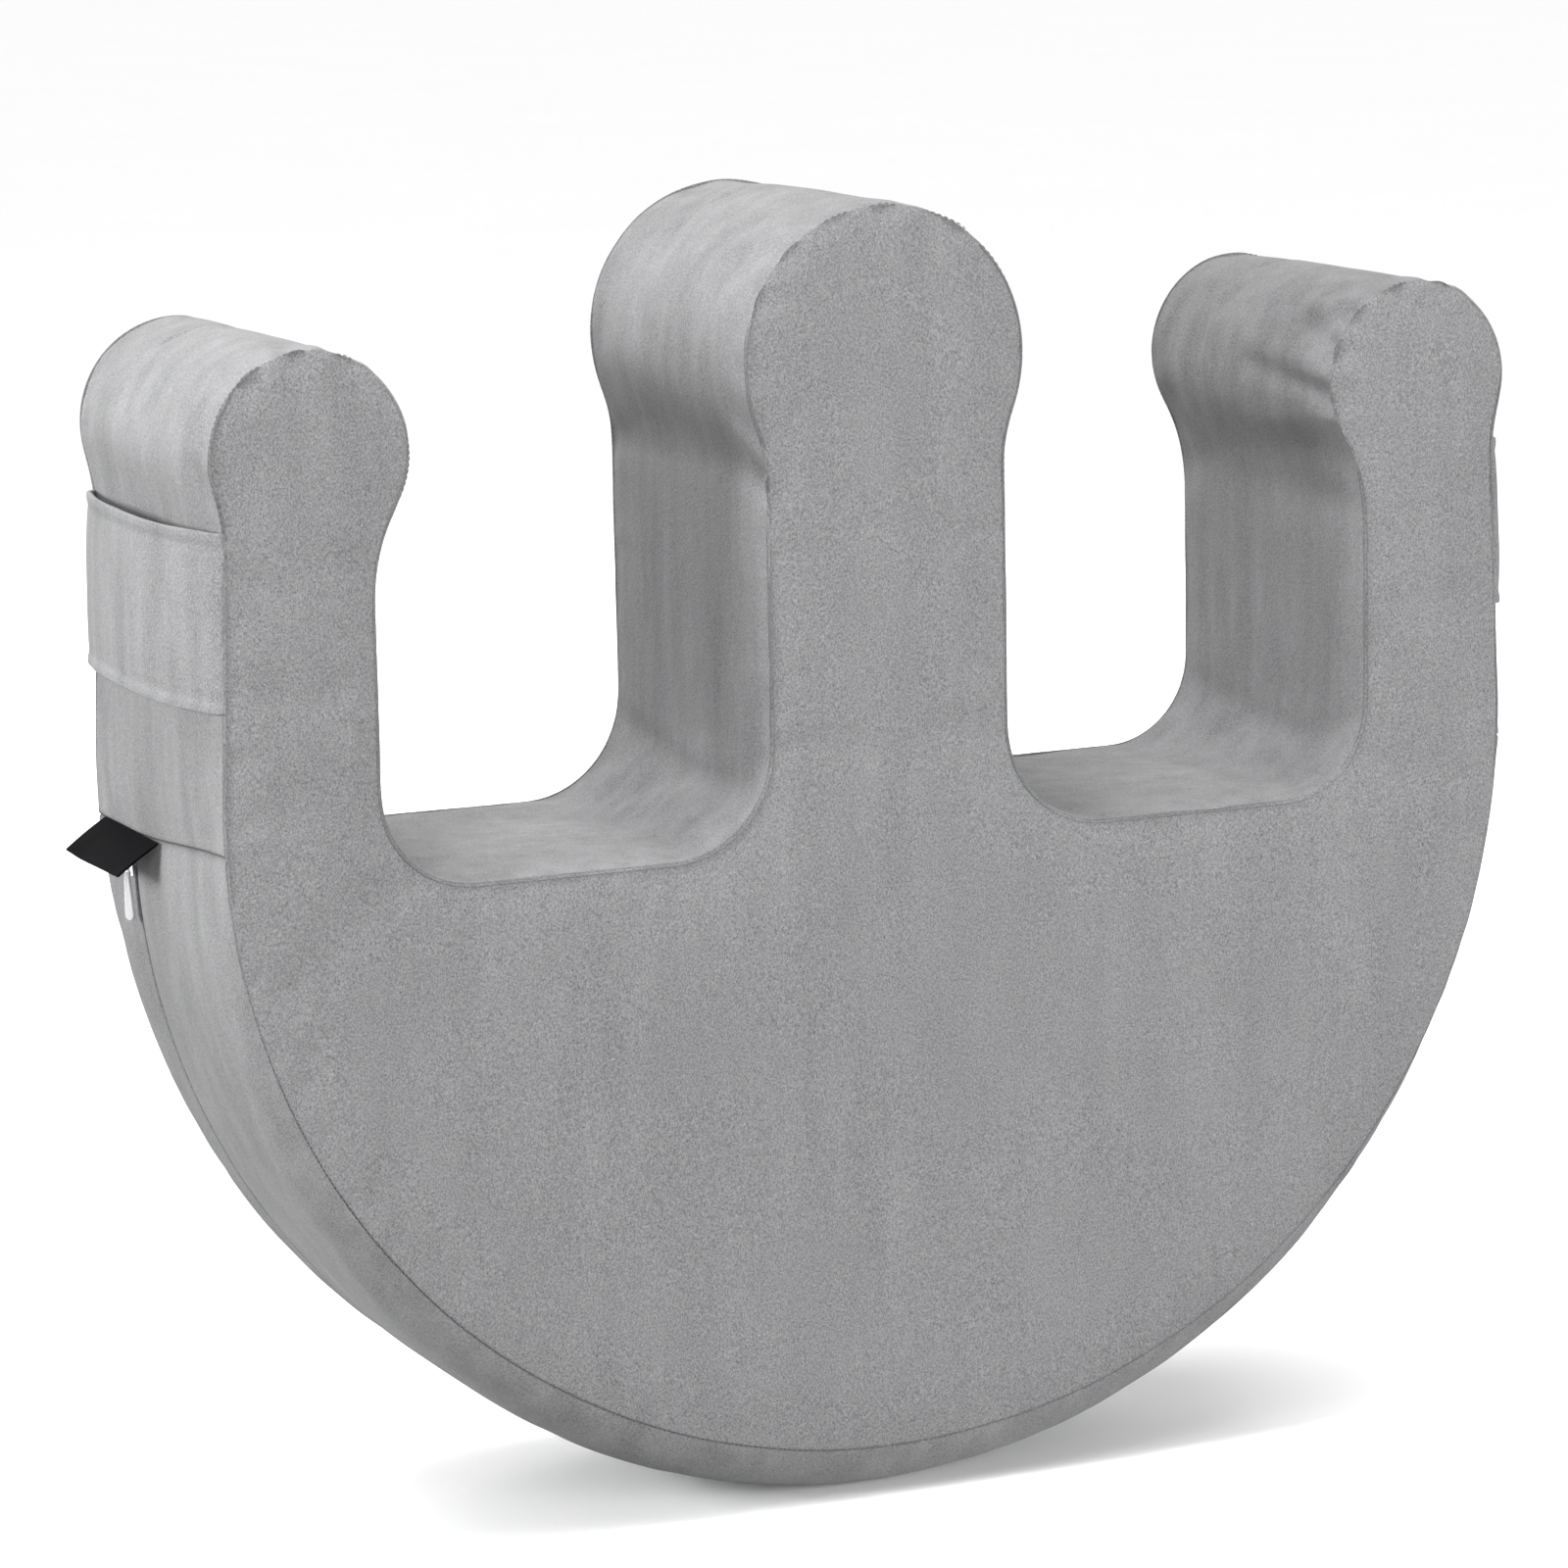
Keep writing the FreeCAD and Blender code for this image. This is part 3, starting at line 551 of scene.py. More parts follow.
def make_cover(plush, plush_band, thread):
    """The five cut pieces of the cover, filled as one skin and then cut apart along its seams."""
    bm, home = cover_skin()
    seam_verts = seam_points(bm, home)
    tree = point_tree(seam_verts)
    distances = [tree.find(vert.co)[2] for vert in bm.verts]
    draw_in(bm, distances)
    tree = point_tree(seam_verts)
    weights = [pin_weight(v.co, d) for v, d in zip(bm.verts, distances)]
    skin = piece_from(bm.copy(), "skin")
    fill(skin, weights)
    for vert, filled in zip(bm.verts, skin.data.vertices):
        vert.co = filled.co
    bpy.data.objects.remove(skin)
    add_detail(bm, home, distances, tree)
    paint_seam_shade(bm, distances)
    nodes = {FRONT: ["cover_front_panel"], BACK: ["cover_back_panel"], UPPER: ["gusset_upper", "foam_core"],
             LOWER_FRONT: ["gusset_lower_front"], LOWER_BACK: ["gusset_lower_back"]}
    for part, name in PIECES.items():
        piece = split_off(bm, part, name)
        finish_piece(piece, "cushion", plush if part in (FRONT, BACK) else plush_band, nodes[part])
    make_seam_thread(bm, thread)
    bm.free()


# ---------------------------------------------------------------- hand straps
HEM = 5.2 * MM                               # width of a strap's turned hem
HEM_PACKING = 1.6                            # over 1, the strap's mesh is closer together at its hems
STRAP_WALL = 2.2 * MM                        # thickness of a strap's doubled cloth
STRAP_HALF = strap_high.y                    # half its length, across the cushion
STRAP_HALF_HEIGHT = (strap_high.z - strap_low.z) / 2
HEM_STITCHES = 46                            # in each row


def side_wall_x(height):
    """How far out the cushion's side wall is at a height between the rocker and the outer neck."""
    bm = cover_outline()
    wall = [v.co.copy() for v in bm.verts if v.co.x > 0.9 * RADIUS and strap_low.z < v.co.z < strap_high.z]
    first, last = min(wall, key=lambda c: c.z), max(wall, key=lambda c: c.z)
    bm.free()
    return first.x + (last.x - first.x) * (height - first.z) / (last.z - first.z)


def strap_point(side, walls, u, w):
    """Outer face of a strap: u runs along the strap and w up it, both from -1 to 1."""
    bow = strap_high.x - max(walls) - 3.2 * MM
    w = math.copysign(1 - (1 - abs(w)) ** HEM_PACKING, w)
    z = (strap_high.z + strap_low.z) / 2 + w * STRAP_HALF_HEIGHT
    out = walls[0] + (walls[1] - walls[0]) * (w + 1) / 2 + STRAP_WALL + 0.4 * MM
    out += bow * (1 - u * u)
    edge = (1 - abs(w)) * STRAP_HALF_HEIGHT
    along = u * STRAP_HALF
    out += 0.45 * MM * (1 - smooth_step(edge, HEM - 1.2 * MM, HEM)) - 0.3 * MM
    out -= 0.55 * MM * math.exp(-((edge - HEM) / (1.0 * MM)) ** 2)
    out += 0.7 * MM * smooth_step(edge, HEM, 24 * MM)
    at = Vector((along, side * 0.3, z))
    out += 0.5 * MM * ripple(at, 32 * MM, 2.9)
    out += 0.25 * MM * ripple(Vector((along, z * 0.3, side)), 9 * MM, 6.3)
    z += 0.5 * MM * ripple(Vector((along, side, 0)), 38 * MM, 4.1) * abs(w)
    out -= (STRAP_WALL + 1.6 * MM) * smooth_step(abs(u), 0.965, 1.0)
    return Vector((side * out, along, z))


def make_strap(side, node, name, plush, thread):
    """A flat band of doubled cloth, bowed out a little from the side wall, its ends at the panel seams."""
    walls = side_wall_x(strap_low.z), side_wall_x(strap_high.z)
    bm = bmesh.new()
    bmesh.ops.create_grid(bm, x_segments=44, y_segments=26, size=1)
    for vert in bm.verts:
        vert.co = strap_point(side, walls, vert.co.x, vert.co.y)
    if side < 0:
        bmesh.ops.reverse_faces(bm, faces=bm.faces[:])
    strap = piece_from(bm, name)
    thicken(strap, STRAP_WALL)
    finish_piece(strap, "cushion", plush, [node])
    make_stitches(side, name + "_stitches", walls, thread)


def make_stitches(side, name, walls, thread):
    """Two rows of sewing stitches, one along each hem."""
    places = []
    row = 1 - (HEM / STRAP_HALF_HEIGHT) ** (1 / HEM_PACKING)
    shape = Matrix.Diagonal((1.25 * MM, 0.3 * MM, 0.3 * MM, 1))
    for w in (row, -row):
        for index in range(HEM_STITCHES):
            u = -0.95 + 1.9 * (index + 0.5) / HEM_STITCHES
            here = strap_point(side, walls, u, w)
            there = strap_point(side, walls, u + 0.01, w)
            turn = (there - here).to_track_quat("X", "Z").to_matrix().to_4x4()
            place = Matrix.Translation(here + Vector((side * 0.12 * MM, 0, 0)))
            places.append(place @ turn @ shape)
    piece = sew(name, places)
    finish_piece(piece, "cushion", thread)


# ---------------------------------------------------------------- label
RIBBON = 0.34 * MM                           # its thickness
RIBBON_FOLD = 0.42 * MM                      # radius of the fold at its tip
RIBBON_INSIDE = 1.3 * MM                     # length of its ends inside the seam
FOLD_SHARE = 0.12                            # share of the mesh that goes round the fold


def make_label(ribbon):
    """A ribbon folded in half at its tip, its two ends sewn into the cross seam."""
    root = Vector((label_high.x - 0.3 * MM, 0, CROSS_SEAM))
    way = Vector((label_low.x - root.x, 0, label_low.z - root.z)).normalized()
    up = Vector((way.z, 0, -way.x))
    reach = (label_low - Vector((root.x, label_low.y, root.z))).length - 0.8 * MM
    bm = bmesh.new()
    bmesh.ops.create_grid(bm, x_segments=44, y_segments=30, size=1)
    for vert in bm.verts:
        s = vert.co.x                        # along the ribbon, 0 at its fold and 1 at its ends
        across = (vert.co.y + 1) / 2
        if abs(s) <= FOLD_SHARE:
            angle = s / FOLD_SHARE * math.pi / 2
            along, above = reach + RIBBON_FOLD * math.cos(angle), RIBBON_FOLD * math.sin(angle)
        else:
            share = (abs(s) - FOLD_SHARE) / (1 - FOLD_SHARE)
            along = reach - share * (reach + RIBBON_INSIDE)
            above = math.copysign(RIBBON_FOLD * (1 - 0.25 * smooth_step(share, 0.7, 1.0)), s)
        tip = max(0.0, along / reach)
        selvedge = 0.12 * MM * math.copysign(1, s) * smooth_step(abs(across - 0.5), 0.482, 0.49)
        sag = -1.2 * MM * tip ** 2 + 0.5 * MM * tip * math.sin(across * 5.2 + 0.7)
        curl = 0.9 * MM * tip * smooth_step(abs(across - 0.45), 0.3, 0.5)
        depth = label_low.y + across * (label_high.y - label_low.y)
        vert.co = root + way * along + up * (above + selvedge + sag + curl) + Vector((0, depth, 0))
    bmesh.ops.recalc_face_normals(bm, faces=bm.faces[:])
    bm.normal_update()
    highest = max(bm.faces, key=lambda f: f.calc_center_median().dot(up))
    if highest.normal.dot(up) < 0:
        bmesh.ops.reverse_faces(bm, faces=bm.faces[:])
    label = piece_from(bm, "label_ribbon")
    thicken(label, RIBBON)
    finish_piece(label, "label", ribbon, ["woven_label"])


# ---------------------------------------------------------------- zip slider and pull
SLIDER_FOOT = 0.78                           # how much narrower the slider's plates are at their lower end
PULL_WALL = 1.5 * MM                         # thickness of the pull's blade
PULL_NECK = 1.15 * MM                        # half its width where it meets the eye
PULL_TURN = math.radians(30)                 # how far the blade is turned on its eye
EYE = 1.0 * MM                               # radius of the eye, to the middle of its wall
ROUNDING = 3                                 # segments of every bevel


def slider_place():
    """Matrix that puts the slider's own axes on the zip: x inwards, y across the zip, z along it."""
    joint = next(j for j in frame["joints"] if j["name"] == "pull_swing")
    pin = Vector(joint["pos_m"])
    angle = math.asin((CENTRE_Z - pin.z) / (pin - Vector((0, pin.y, CENTRE_Z))).length)
    return Matrix.Translation(pin) @ Matrix.Rotation(-angle, 4, "Y"), pin


def rounded_block(bm, low, high, radius, foot=1.0):
    """A block with rounded edges, narrowed across to foot times its width at its lower end."""
    low, high = Vector(low), Vector(high)
    made = bmesh.ops.create_cube(bm, size=1)["verts"]
    for vert in made:
        vert.co = (low + high) / 2 + Vector(vert.co[k] * (high - low)[k] for k in range(3))
        if vert.co.z < (low.z + high.z) / 2:
            vert.co.y *= foot
    edges = list(dict.fromkeys(e for v in made for e in v.link_edges))
    bmesh.ops.bevel(bm, geom=edges, offset=radius, segments=ROUNDING, profile=0.5, affect="EDGES",
                    material=-1)


def make_slider(metal):
    """Outer and inner plates joined by a post, with a bail that holds the pull's pin."""
    place, pin = slider_place()
    skin = abs(pin.x) - RADIUS               # the running surface, seen from the pin
    inner = slider_high.x - pin.x            # the inner plate's inner face
    top, bottom = slider_high.z - pin.z - 0.1 * MM, slider_low.z - pin.z + 0.1 * MM
    half = (slider_high.y - slider_low.y) / 2
    bm = bmesh.new()
    rounded_block(bm, (skin - 2.0 * MM, -half, bottom), (skin - 0.6 * MM, half, top), 0.55 * MM,
                  SLIDER_FOOT)
    rounded_block(bm, (inner - 1.4 * MM, -half, bottom), (inner, half, top), 0.5 * MM, SLIDER_FOOT)
    rounded_block(bm, (skin - 1.2 * MM, -0.4 * MM, -0.5 * MM),
                  (inner - 0.6 * MM, 0.4 * MM, top - 0.6 * MM), 0.12 * MM)       # the post
    for side in (-1, 1):
        near, far = sorted((side * 1.45 * MM, side * 2.35 * MM))
        rounded_block(bm, (-1.1 * MM, near, -2.6 * MM), (skin - 1.0 * MM, far, 3.4 * MM), 0.35 * MM)
    pin_radius = 0.58 * MM
    bmesh.ops.create_cone(bm, cap_ends=True, segments=24, radius1=pin_radius, radius2=pin_radius,
                          depth=4.2 * MM, matrix=Matrix.Rotation(math.pi / 2, 4, "X"))
    bmesh.ops.transform(bm, matrix=place, verts=bm.verts)
    bmesh.ops.recalc_face_normals(bm, faces=bm.faces[:])
    slider = piece_from(bm, "zip_slider_body")
    slider.data.set_sharp_from_angle(angle=math.radians(40))
    finish_piece(slider, "slider", metal, ["zip_slider"])


def make_pull(enamel):
    """Teardrop pull: a flat rounded blade with an eye round the slider's pin."""
    place, pin = slider_place()
    low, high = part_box("zip_pull_tab")
    end = (high.y - low.y) / 2               # radius of the blade's round end
    foot = low.z - pin.z + end               # height of that round end's middle
    bm = bmesh.new()
    bmesh.ops.create_circle(bm, cap_ends=True, segments=48, radius=1)
    for vert in bm.verts:
        across, along = vert.co.x, vert.co.y
        if along < 0:
            vert.co = Vector((0, across * end, foot + along * end))
        else:
            width = end + (PULL_NECK - end) * along
            side = math.copysign(min(1.0, abs(across) * 1.6), across)
            vert.co = Vector((0, side * width, foot + (-EYE - foot) * along))
    grown = bmesh.ops.extrude_face_region(bm, geom=bm.faces[:])["geom"]
    fresh = [g for g in grown if isinstance(g, bmesh.types.BMVert)]
    bmesh.ops.translate(bm, verts=fresh, vec=(PULL_WALL, 0, 0))
    bmesh.ops.translate(bm, verts=bm.verts, vec=(-PULL_WALL / 2, 0, 0))
    bmesh.ops.recalc_face_normals(bm, faces=bm.faces[:])
    rims = [e for e in bm.edges if len(e.link_faces) == 2 and e.calc_face_angle() > math.radians(60)]
    bmesh.ops.bevel(bm, geom=rims, offset=0.45 * MM, segments=ROUNDING, profile=0.5, affect="EDGES",
                    material=-1)
    bmesh.ops.rotate(bm, verts=bm.verts, cent=(0, 0, 0), matrix=Matrix.Rotation(PULL_TURN, 3, "Z"))
    ring = bmesh.ops.create_circle(bm, segments=12, radius=0.32 * MM,
                                   matrix=Matrix.Translation((EYE, 0, 0)))["verts"]
    for vert in ring:
        vert.co.y *= 3.2                     # the eye's wall is wider than it is thick
    edges = list(dict.fromkeys(e for v in ring for e in v.link_edges))
    bmesh.ops.spin(bm, geom=ring + edges, cent=(0, 0, 0), axis=(0, 1, 0), angle=2 * math.pi, steps=28,
                   use_merge=True)
    bmesh.ops.remove_doubles(bm, verts=bm.verts, dist=0.005 * MM)
    bmesh.ops.transform(bm, matrix=place, verts=bm.verts)
    bmesh.ops.recalc_face_normals(bm, faces=bm.faces[:])
    pull = piece_from(bm, "zip_pull")
    finish_piece(pull, "pull", enamel, ["zip_pull_tab"])


# ---------------------------------------------------------------- finishes
PLUSH_GREY = (0.366, 0.366, 0.374)


def new_material(name):
    material = bpy.data.materials.new(name)
    material.use_nodes = True
    tree = material.node_tree
    shader = tree.nodes["Principled BSDF"]
    place = tree.nodes.new("ShaderNodeTexCoord")
    return material, tree, shader, place.outputs["Object"]


def group_tree(name, inputs, outputs):
    tree = bpy.data.node_groups.new(name, "ShaderNodeTree")
    for label, kind in inputs:
        tree.interface.new_socket(name=label, in_out="INPUT", socket_type=kind)
    for label, kind in outputs:
        tree.interface.new_socket(name=label, in_out="OUTPUT", socket_type=kind)
    return tree, tree.nodes.new("NodeGroupInput"), tree.nodes.new("NodeGroupOutput")


def noise_node(tree, vector, scale, detail=2.0, roughness=0.5):
    node = tree.nodes.new("ShaderNodeTexNoise")
    node.inputs["Scale"].default_value = scale
    node.inputs["Detail"].default_value = detail
    node.inputs["Roughness"].default_value = roughness
    tree.links.new(vector, node.inputs["Vector"])
    return node.outputs["Fac"]


def math_node(tree, operation, first, second=None):
    node = tree.nodes.new("ShaderNodeMath")
    node.operation = operation
    for socket, value in zip(node.inputs, (first, second)):
        if value is None:
            continue
        if isinstance(value, (int, float)):
            socket.default_value = value
        else:
            tree.links.new(value, socket)
    return node.outputs[0]


def range_node(tree, value, from_low, from_high, to_low, to_high):
    node = tree.nodes.new("ShaderNodeMapRange")
    for label, number in (("From Min", from_low), ("From Max", from_high),
                          ("To Min", to_low), ("To Max", to_high)):
        node.inputs[label].default_value = number
    tree.links.new(value, node.inputs["Value"])
    return node.outputs["Result"]


def drawn_out(tree, vector, upright):
    """Place for a pattern whose marks are longer up and down the piece, the more the lower the number."""
    node = tree.nodes.new("ShaderNodeMapping")
    node.inputs["Scale"].default_value = (1, 1, upright)
    tree.links.new(vector, node.inputs["Vector"])
    return node.outputs["Vector"]


def relief(tree, height, shader, strength, distance):
    """Lets a height show as bumps on the shader's surface."""
    bump = tree.nodes.new("ShaderNodeBump")
    bump.inputs["Strength"].default_value = strength
    bump.inputs["Distance"].default_value = distance
    tree.links.new(height, bump.inputs["Height"])
    tree.links.new(bump.outputs["Normal"], shader.inputs["Normal"])


def blended_colour(tree, factor, first, second, shader):
    node = tree.nodes.new("ShaderNodeMix")
    node.data_type = "RGBA"
    node.inputs["A"].default_value = (*first, 1)
    node.inputs["B"].default_value = (*second, 1)
    tree.links.new(factor, node.inputs["Factor"])
    tree.links.new(node.outputs["Result"], shader.inputs["Base Color"])


def shade_colour(tree, colour, factor):
    """Colour multiplied by a factor that changes over the surface."""
    node = tree.nodes.new("ShaderNodeVectorMath")
    node.operation = "SCALE"
    tree.links.new(colour, node.inputs[0])
    tree.links.new(factor, node.inputs["Scale"])
    return node.outputs["Vector"]


def nap_group():
    """Short pile: speckle of fibre tips, small tufts, and long soft strokes where the nap was brushed."""
    tree, source, sink = group_tree(
        "short pile",
        [("Vector", "NodeSocketVector"), ("Colour", "NodeSocketColor"), ("Speckle", "NodeSocketFloat"),
         ("Strokes", "NodeSocketFloat"), ("Fibre Size", "NodeSocketFloat")],
        [("Colour", "NodeSocketColor"), ("Height", "NodeSocketFloat"), ("Roughness", "NodeSocketFloat")])
    where = source.outputs["Vector"]
    speckle = noise_node(tree, where, 1150.0, detail=2.0, roughness=0.7)
    tips = noise_node(tree, drawn_out(tree, where, 0.45), 1900.0, detail=1.0, roughness=0.5)
    tufts = noise_node(tree, drawn_out(tree, where, 0.6), 230.0, detail=3.0, roughness=0.6)
    strokes = noise_node(tree, drawn_out(tree, where, 0.14), 75.0, detail=3.0, roughness=0.55)
    patches = noise_node(tree, drawn_out(tree, where, 0.55), 24.0, detail=4.0, roughness=0.6)
    grain = math_node(tree, "ADD", math_node(tree, "MULTIPLY", speckle, 0.6),
                      math_node(tree, "MULTIPLY", tips, 0.4))
    fine = math_node(tree, "MULTIPLY", math_node(tree, "SUBTRACT", grain, 0.5), source.outputs["Speckle"])
    tuft_part = math_node(tree, "MULTIPLY", math_node(tree, "SUBTRACT", tufts, 0.5), 0.12)
    stroke_part = math_node(tree, "MULTIPLY", math_node(tree, "SUBTRACT", strokes, 0.5),
                            source.outputs["Strokes"])
    broad_part = math_node(tree, "MULTIPLY", math_node(tree, "SUBTRACT", patches, 0.5),
                           math_node(tree, "MULTIPLY", source.outputs["Strokes"], 0.8))
    total = math_node(tree, "ADD", math_node(tree, "ADD", fine, tuft_part),
                      math_node(tree, "ADD", stroke_part, broad_part))
    colour = shade_colour(tree, source.outputs["Colour"], math_node(tree, "ADD", total, 1.0))
    height = math_node(tree, "ADD", math_node(tree, "MULTIPLY", grain, 0.7),
                       math_node(tree, "MULTIPLY", tufts, 0.5))
    height = math_node(tree, "MULTIPLY", height, source.outputs["Fibre Size"])
    tree.links.new(colour, sink.inputs["Colour"])
    tree.links.new(height, sink.inputs["Height"])
    tree.links.new(range_node(tree, tufts, 0.3, 0.7, 0.86, 0.98), sink.inputs["Roughness"])
    return tree


def plush_material(nap, name, colour, speckle, strokes):
    """Plush: the pile on its own piece, darker along the seams by painted shade of the seam creases, where
    the pile is also pressed flat.
    """
    material, tree, shader, where = new_material(name)
    pile = tree.nodes.new("ShaderNodeGroup")
    pile.node_tree = nap
    pile.inputs["Colour"].default_value = (*colour, 1)
    pile.inputs["Speckle"].default_value = speckle
    pile.inputs["Strokes"].default_value = strokes
    pile.inputs["Fibre Size"].default_value = 1.0
    tree.links.new(where, pile.inputs["Vector"])
    relief(tree, pile.outputs["Height"], shader, strength=0.8, distance=0.8 * MM)
    # painted shade: near a seam the plush colour is darkened by up to 28 percent, standing in for shade in
    # the seam's crease
    seam_shade_mask = tree.nodes.new("ShaderNodeAttribute")
    seam_shade_mask.attribute_name = "seam"
    painted_seam_shade = math_node(tree, "SUBTRACT", 1.0, math_node(tree, "MULTIPLY", seam_shade_mask.outputs["Fac"], 0.28))
    tree.links.new(shade_colour(tree, pile.outputs["Colour"], painted_seam_shade), shader.inputs["Base Color"])
    tree.links.new(pile.outputs["Roughness"], shader.inputs["Roughness"])
    shader.inputs["Sheen Weight"].default_value = 0.25
    shader.inputs["Sheen Roughness"].default_value = 0.5
    shader.inputs["Specular IOR Level"].default_value = 0.25
    return material


def ribbed_group():
    """Woven ribbon or tape: ribs both ways, crossing each other, with a little unevenness in the yarn."""
    tree, source, sink = group_tree(
        "narrow weave",
        [("Vector", "NodeSocketVector"), ("Colour", "NodeSocketColor"), ("Rib Scale", "NodeSocketFloat"),
         ("Contrast", "NodeSocketFloat")],
        [("Colour", "NodeSocketColor"), ("Height", "NodeSocketFloat"), ("Roughness", "NodeSocketFloat")])
    where = source.outputs["Vector"]
    parts = tree.nodes.new("ShaderNodeSeparateXYZ")
    tree.links.new(where, parts.inputs[0])
    lengthwise = math_node(tree, "ADD", parts.outputs["X"], parts.outputs["Z"])
    ribs = [math_node(tree, "SINE", math_node(tree, "MULTIPLY", way, source.outputs["Rib Scale"]))
            for way in (parts.outputs["Y"], lengthwise)]
    weave = math_node(tree, "MULTIPLY", *ribs)
    yarn = noise_node(tree, where, 1100.0, detail=2.0, roughness=0.6)
    height = math_node(tree, "ADD", math_node(tree, "MULTIPLY", weave, 0.5), yarn)
    change = math_node(tree, "MULTIPLY", math_node(tree, "SUBTRACT", height, 0.5),
                       source.outputs["Contrast"])
    colour = shade_colour(tree, source.outputs["Colour"], math_node(tree, "ADD", change, 1.0))
    tree.links.new(colour, sink.inputs["Colour"])
    tree.links.new(height, sink.inputs["Height"])
    tree.links.new(range_node(tree, height, 0.0, 1.2, 0.92, 0.75), sink.inputs["Roughness"])
    return tree


def woven_material(weave, name, colour, rib_scale, contrast, sheen):
    """Thread, ribbon or tape in the narrow weave."""
    material, tree, shader, where = new_material(name)
    cloth = tree.nodes.new("ShaderNodeGroup")
    cloth.node_tree = weave
    cloth.inputs["Colour"].default_value = (*colour, 1)
    cloth.inputs["Rib Scale"].default_value = rib_scale
    cloth.inputs["Contrast"].default_value = contrast
    tree.links.new(where, cloth.inputs["Vector"])
    relief(tree, cloth.outputs["Height"], shader, strength=0.5, distance=0.15 * MM)
    tree.links.new(cloth.outputs["Colour"], shader.inputs["Base Color"])
    tree.links.new(cloth.outputs["Roughness"], shader.inputs["Roughness"])
    shader.inputs["Sheen Weight"].default_value = sheen
    shader.inputs["Specular IOR Level"].default_value = 0.1
    return material


def hard_material(name, colour, metallic, rough_low, rough_high, scratch_scale, coat=0.0):
    """Plated metal, nylon or enamel: fine handling marks in roughness, colour and relief."""
    material, tree, shader, where = new_material(name)
    marks = noise_node(tree, drawn_out(tree, where, 0.2), scratch_scale, detail=4.0, roughness=0.65)
    cloud = noise_node(tree, where, scratch_scale / 6)
    blended_colour(tree, cloud, [0.86 * c for c in colour], colour, shader)
    tree.links.new(range_node(tree, marks, 0.3, 0.7, rough_low, rough_high), shader.inputs["Roughness"])
    relief(tree, marks, shader, strength=0.15, distance=0.05 * MM)
    shader.inputs["Metallic"].default_value = metallic
    shader.inputs["Coat Weight"].default_value = coat
    shader.inputs["Coat Roughness"].default_value = 0.15
    return material


def give_finish(node, material):
    """Gives a carried-over CAD node its finish."""
    mesh = frame["nodes"][node].data
    mesh.materials.clear()
    mesh.materials.append(material)


# ---------------------------------------------------------------- floor, light and camera
FLOOR_WHITES = (0.93,) * 3, (0.95,) * 3
FLOOR_WASH = 2.7                             # strength of the light that only the floor receives
LIGHTS = (                                   # name, place, aim, size across, watts
    ("top", (-0.45, -0.15, 1.8), (-0.05, 0, 0.4), 0.6, 14),
    ("left", (-1.35, -0.15, 0.6), (-0.25, 0, 0.35), 0.4, 9.2),
    ("front left", (-1.7, -2.2, 1.0), (0, 0, 0.3), 0.8, 11),
    ("front fill", (1.4, -2.5, 0.6), (0, 0, 0.25), 1.8, 51),
    ("back fill", (0.9, 2.6, 1.3), (0, 0, 0.3), 2.0, 36),
)
CAMERA_PLACE = (-1.0702, -2.3643, 0.7632)
CAMERA_YAW, CAMERA_PITCH, CAMERA_ROLL = 24.10, 10.09, -1.058     # degrees: to the right, down, tilt
LENS = 137.9


def make_floor():
    """A wide pale floor. It throws no light back up, so the slots between the posts stay in shade."""
    bm = bmesh.new()
    bmesh.ops.create_grid(bm, x_segments=1, y_segments=1, size=40)
    floor = piece_from(bm, "studio_floor", smooth=False)
    material, tree, shader, where = new_material("studio white")
    blended_colour(tree, noise_node(tree, where, 3.0), *FLOOR_WHITES, shader)
    shader.inputs["Roughness"].default_value = 0.9
    floor.data.materials.append(material)
    floor.visible_diffuse = False
    return floor


def new_lamp(name, kind, energy):
    data = bpy.data.lights.new(name, kind)
    data.energy = energy
    lamp = bpy.data.objects.new(name, data)
    bpy.context.scene.collection.objects.link(lamp)
    return lamp


def make_lights(floor):
    """Soft lamps round the cushion, and one that lights the floor alone to keep it white."""
    world = bpy.data.worlds.new("studio")
    world.use_nodes = True
    tree = world.node_tree
    tree.nodes["Background"].inputs["Color"].default_value = (1, 1, 1, 1)
    seen = tree.nodes.new("ShaderNodeLightPath").outputs["Is Camera Ray"]
    strength = range_node(tree, seen, 0.0, 1.0, 0.22, 0.98)      # dim as light, white as a backdrop
    tree.links.new(strength, tree.nodes["Background"].inputs["Strength"])
    bpy.context.scene.world = world
    for name, place, aim, size, watts in LIGHTS:
        lamp = new_lamp(name, "AREA", watts)
        lamp.data.shape = "DISK"
        lamp.data.size = size
        lamp.location = place
        lamp.rotation_euler = (Vector(aim) - Vector(place)).to_track_quat("-Z", "Y").to_euler()
    wash = new_lamp("floor wash", "SUN", FLOOR_WASH)
    wash.data.angle = math.radians(60)
    lit = bpy.data.collections.new("washed floor")
    lit.objects.link(floor)
    wash.light_linking.receiver_collection = lit


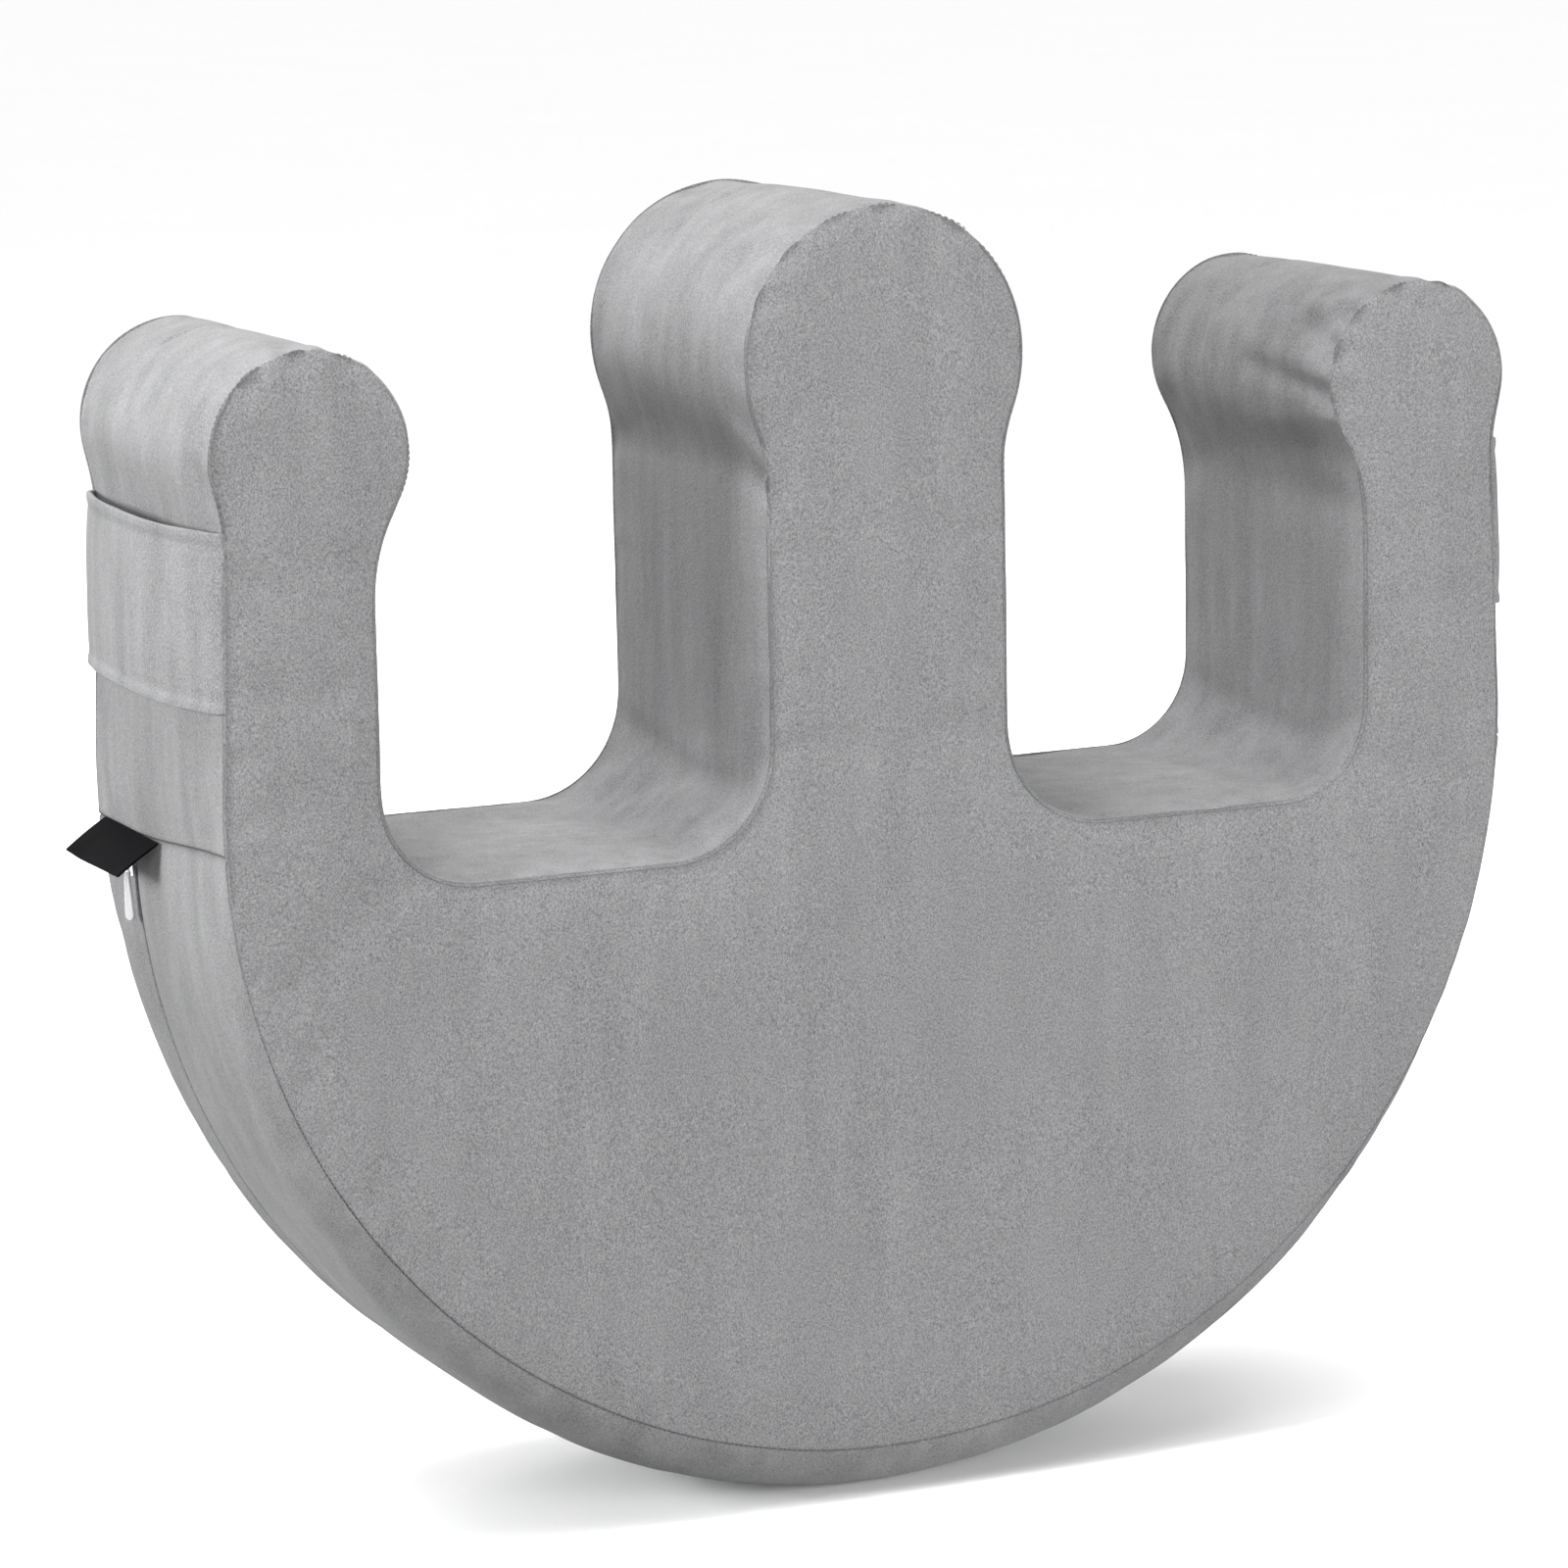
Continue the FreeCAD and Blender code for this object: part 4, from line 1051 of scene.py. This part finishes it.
def make_camera():
    yaw, pitch, roll = (math.radians(turn) for turn in (CAMERA_YAW, CAMERA_PITCH, CAMERA_ROLL))
    ahead = Vector((math.sin(yaw) * math.cos(pitch), math.cos(yaw) * math.cos(pitch), -math.sin(pitch)))
    right = Vector((math.cos(yaw), -math.sin(yaw), 0))
    above = right.cross(ahead)
    tilted_right = math.cos(roll) * right + math.sin(roll) * above
    tilted_up = math.cos(roll) * above - math.sin(roll) * right
    data = bpy.data.cameras.new("camera")
    data.lens = LENS
    data.sensor_width = 36
    camera = bpy.data.objects.new("camera", data)
    bpy.context.scene.collection.objects.link(camera)
    turn = Matrix((tilted_right, tilted_up, -ahead)).transposed().to_4x4()
    camera.matrix_world = Matrix.Translation(CAMERA_PLACE) @ turn
    bpy.context.scene.camera = camera


# ---------------------------------------------------------------- putting it together
make_camera()
floor = make_floor()
make_lights(floor)
bpy.context.scene.view_settings.view_transform = "Standard"
nap = nap_group()
plush = plush_material(nap, "grey plush", PLUSH_GREY, speckle=2.6, strokes=0.22)
plush_band = plush_material(nap, "grey plush, brushed", PLUSH_GREY, speckle=2.2, strokes=0.6)
weave = ribbed_group()
thread = woven_material(weave, "grey thread", (0.26, 0.26, 0.265), 9000.0, contrast=0.4, sheen=0.1)
ribbon = woven_material(weave, "black ribbon", (0.006, 0.006, 0.007), 7000.0, contrast=0.5, sheen=0.0)
tape = woven_material(weave, "zip tape", (0.24, 0.24, 0.25), 8000.0, contrast=0.4, sheen=0.1)
nylon = hard_material("zip nylon", (0.30, 0.30, 0.31), 0.0, 0.3, 0.5, 900.0)
metal = hard_material("nickel plate", (0.72, 0.72, 0.73), 1.0, 0.16, 0.34, 700.0)
enamel = hard_material("white enamel", (0.84, 0.84, 0.86), 0.0, 0.22, 0.36, 500.0, coat=0.4)
make_cover(plush, plush_band, thread)
make_strap(-1, "hand_strap_left", "strap_left", plush_band, thread)
make_strap(1, "hand_strap_right", "strap_right", plush_band, thread)
make_label(ribbon)
make_slider(metal)
make_pull(enamel)
for node in ("zip_tape_front", "zip_tape_back"):
    give_finish(node, tape)
for node in ("zip_coil_front", "zip_coil_back", "zip_top_stops", "zip_bottom_stop"):
    give_finish(node, nylon)
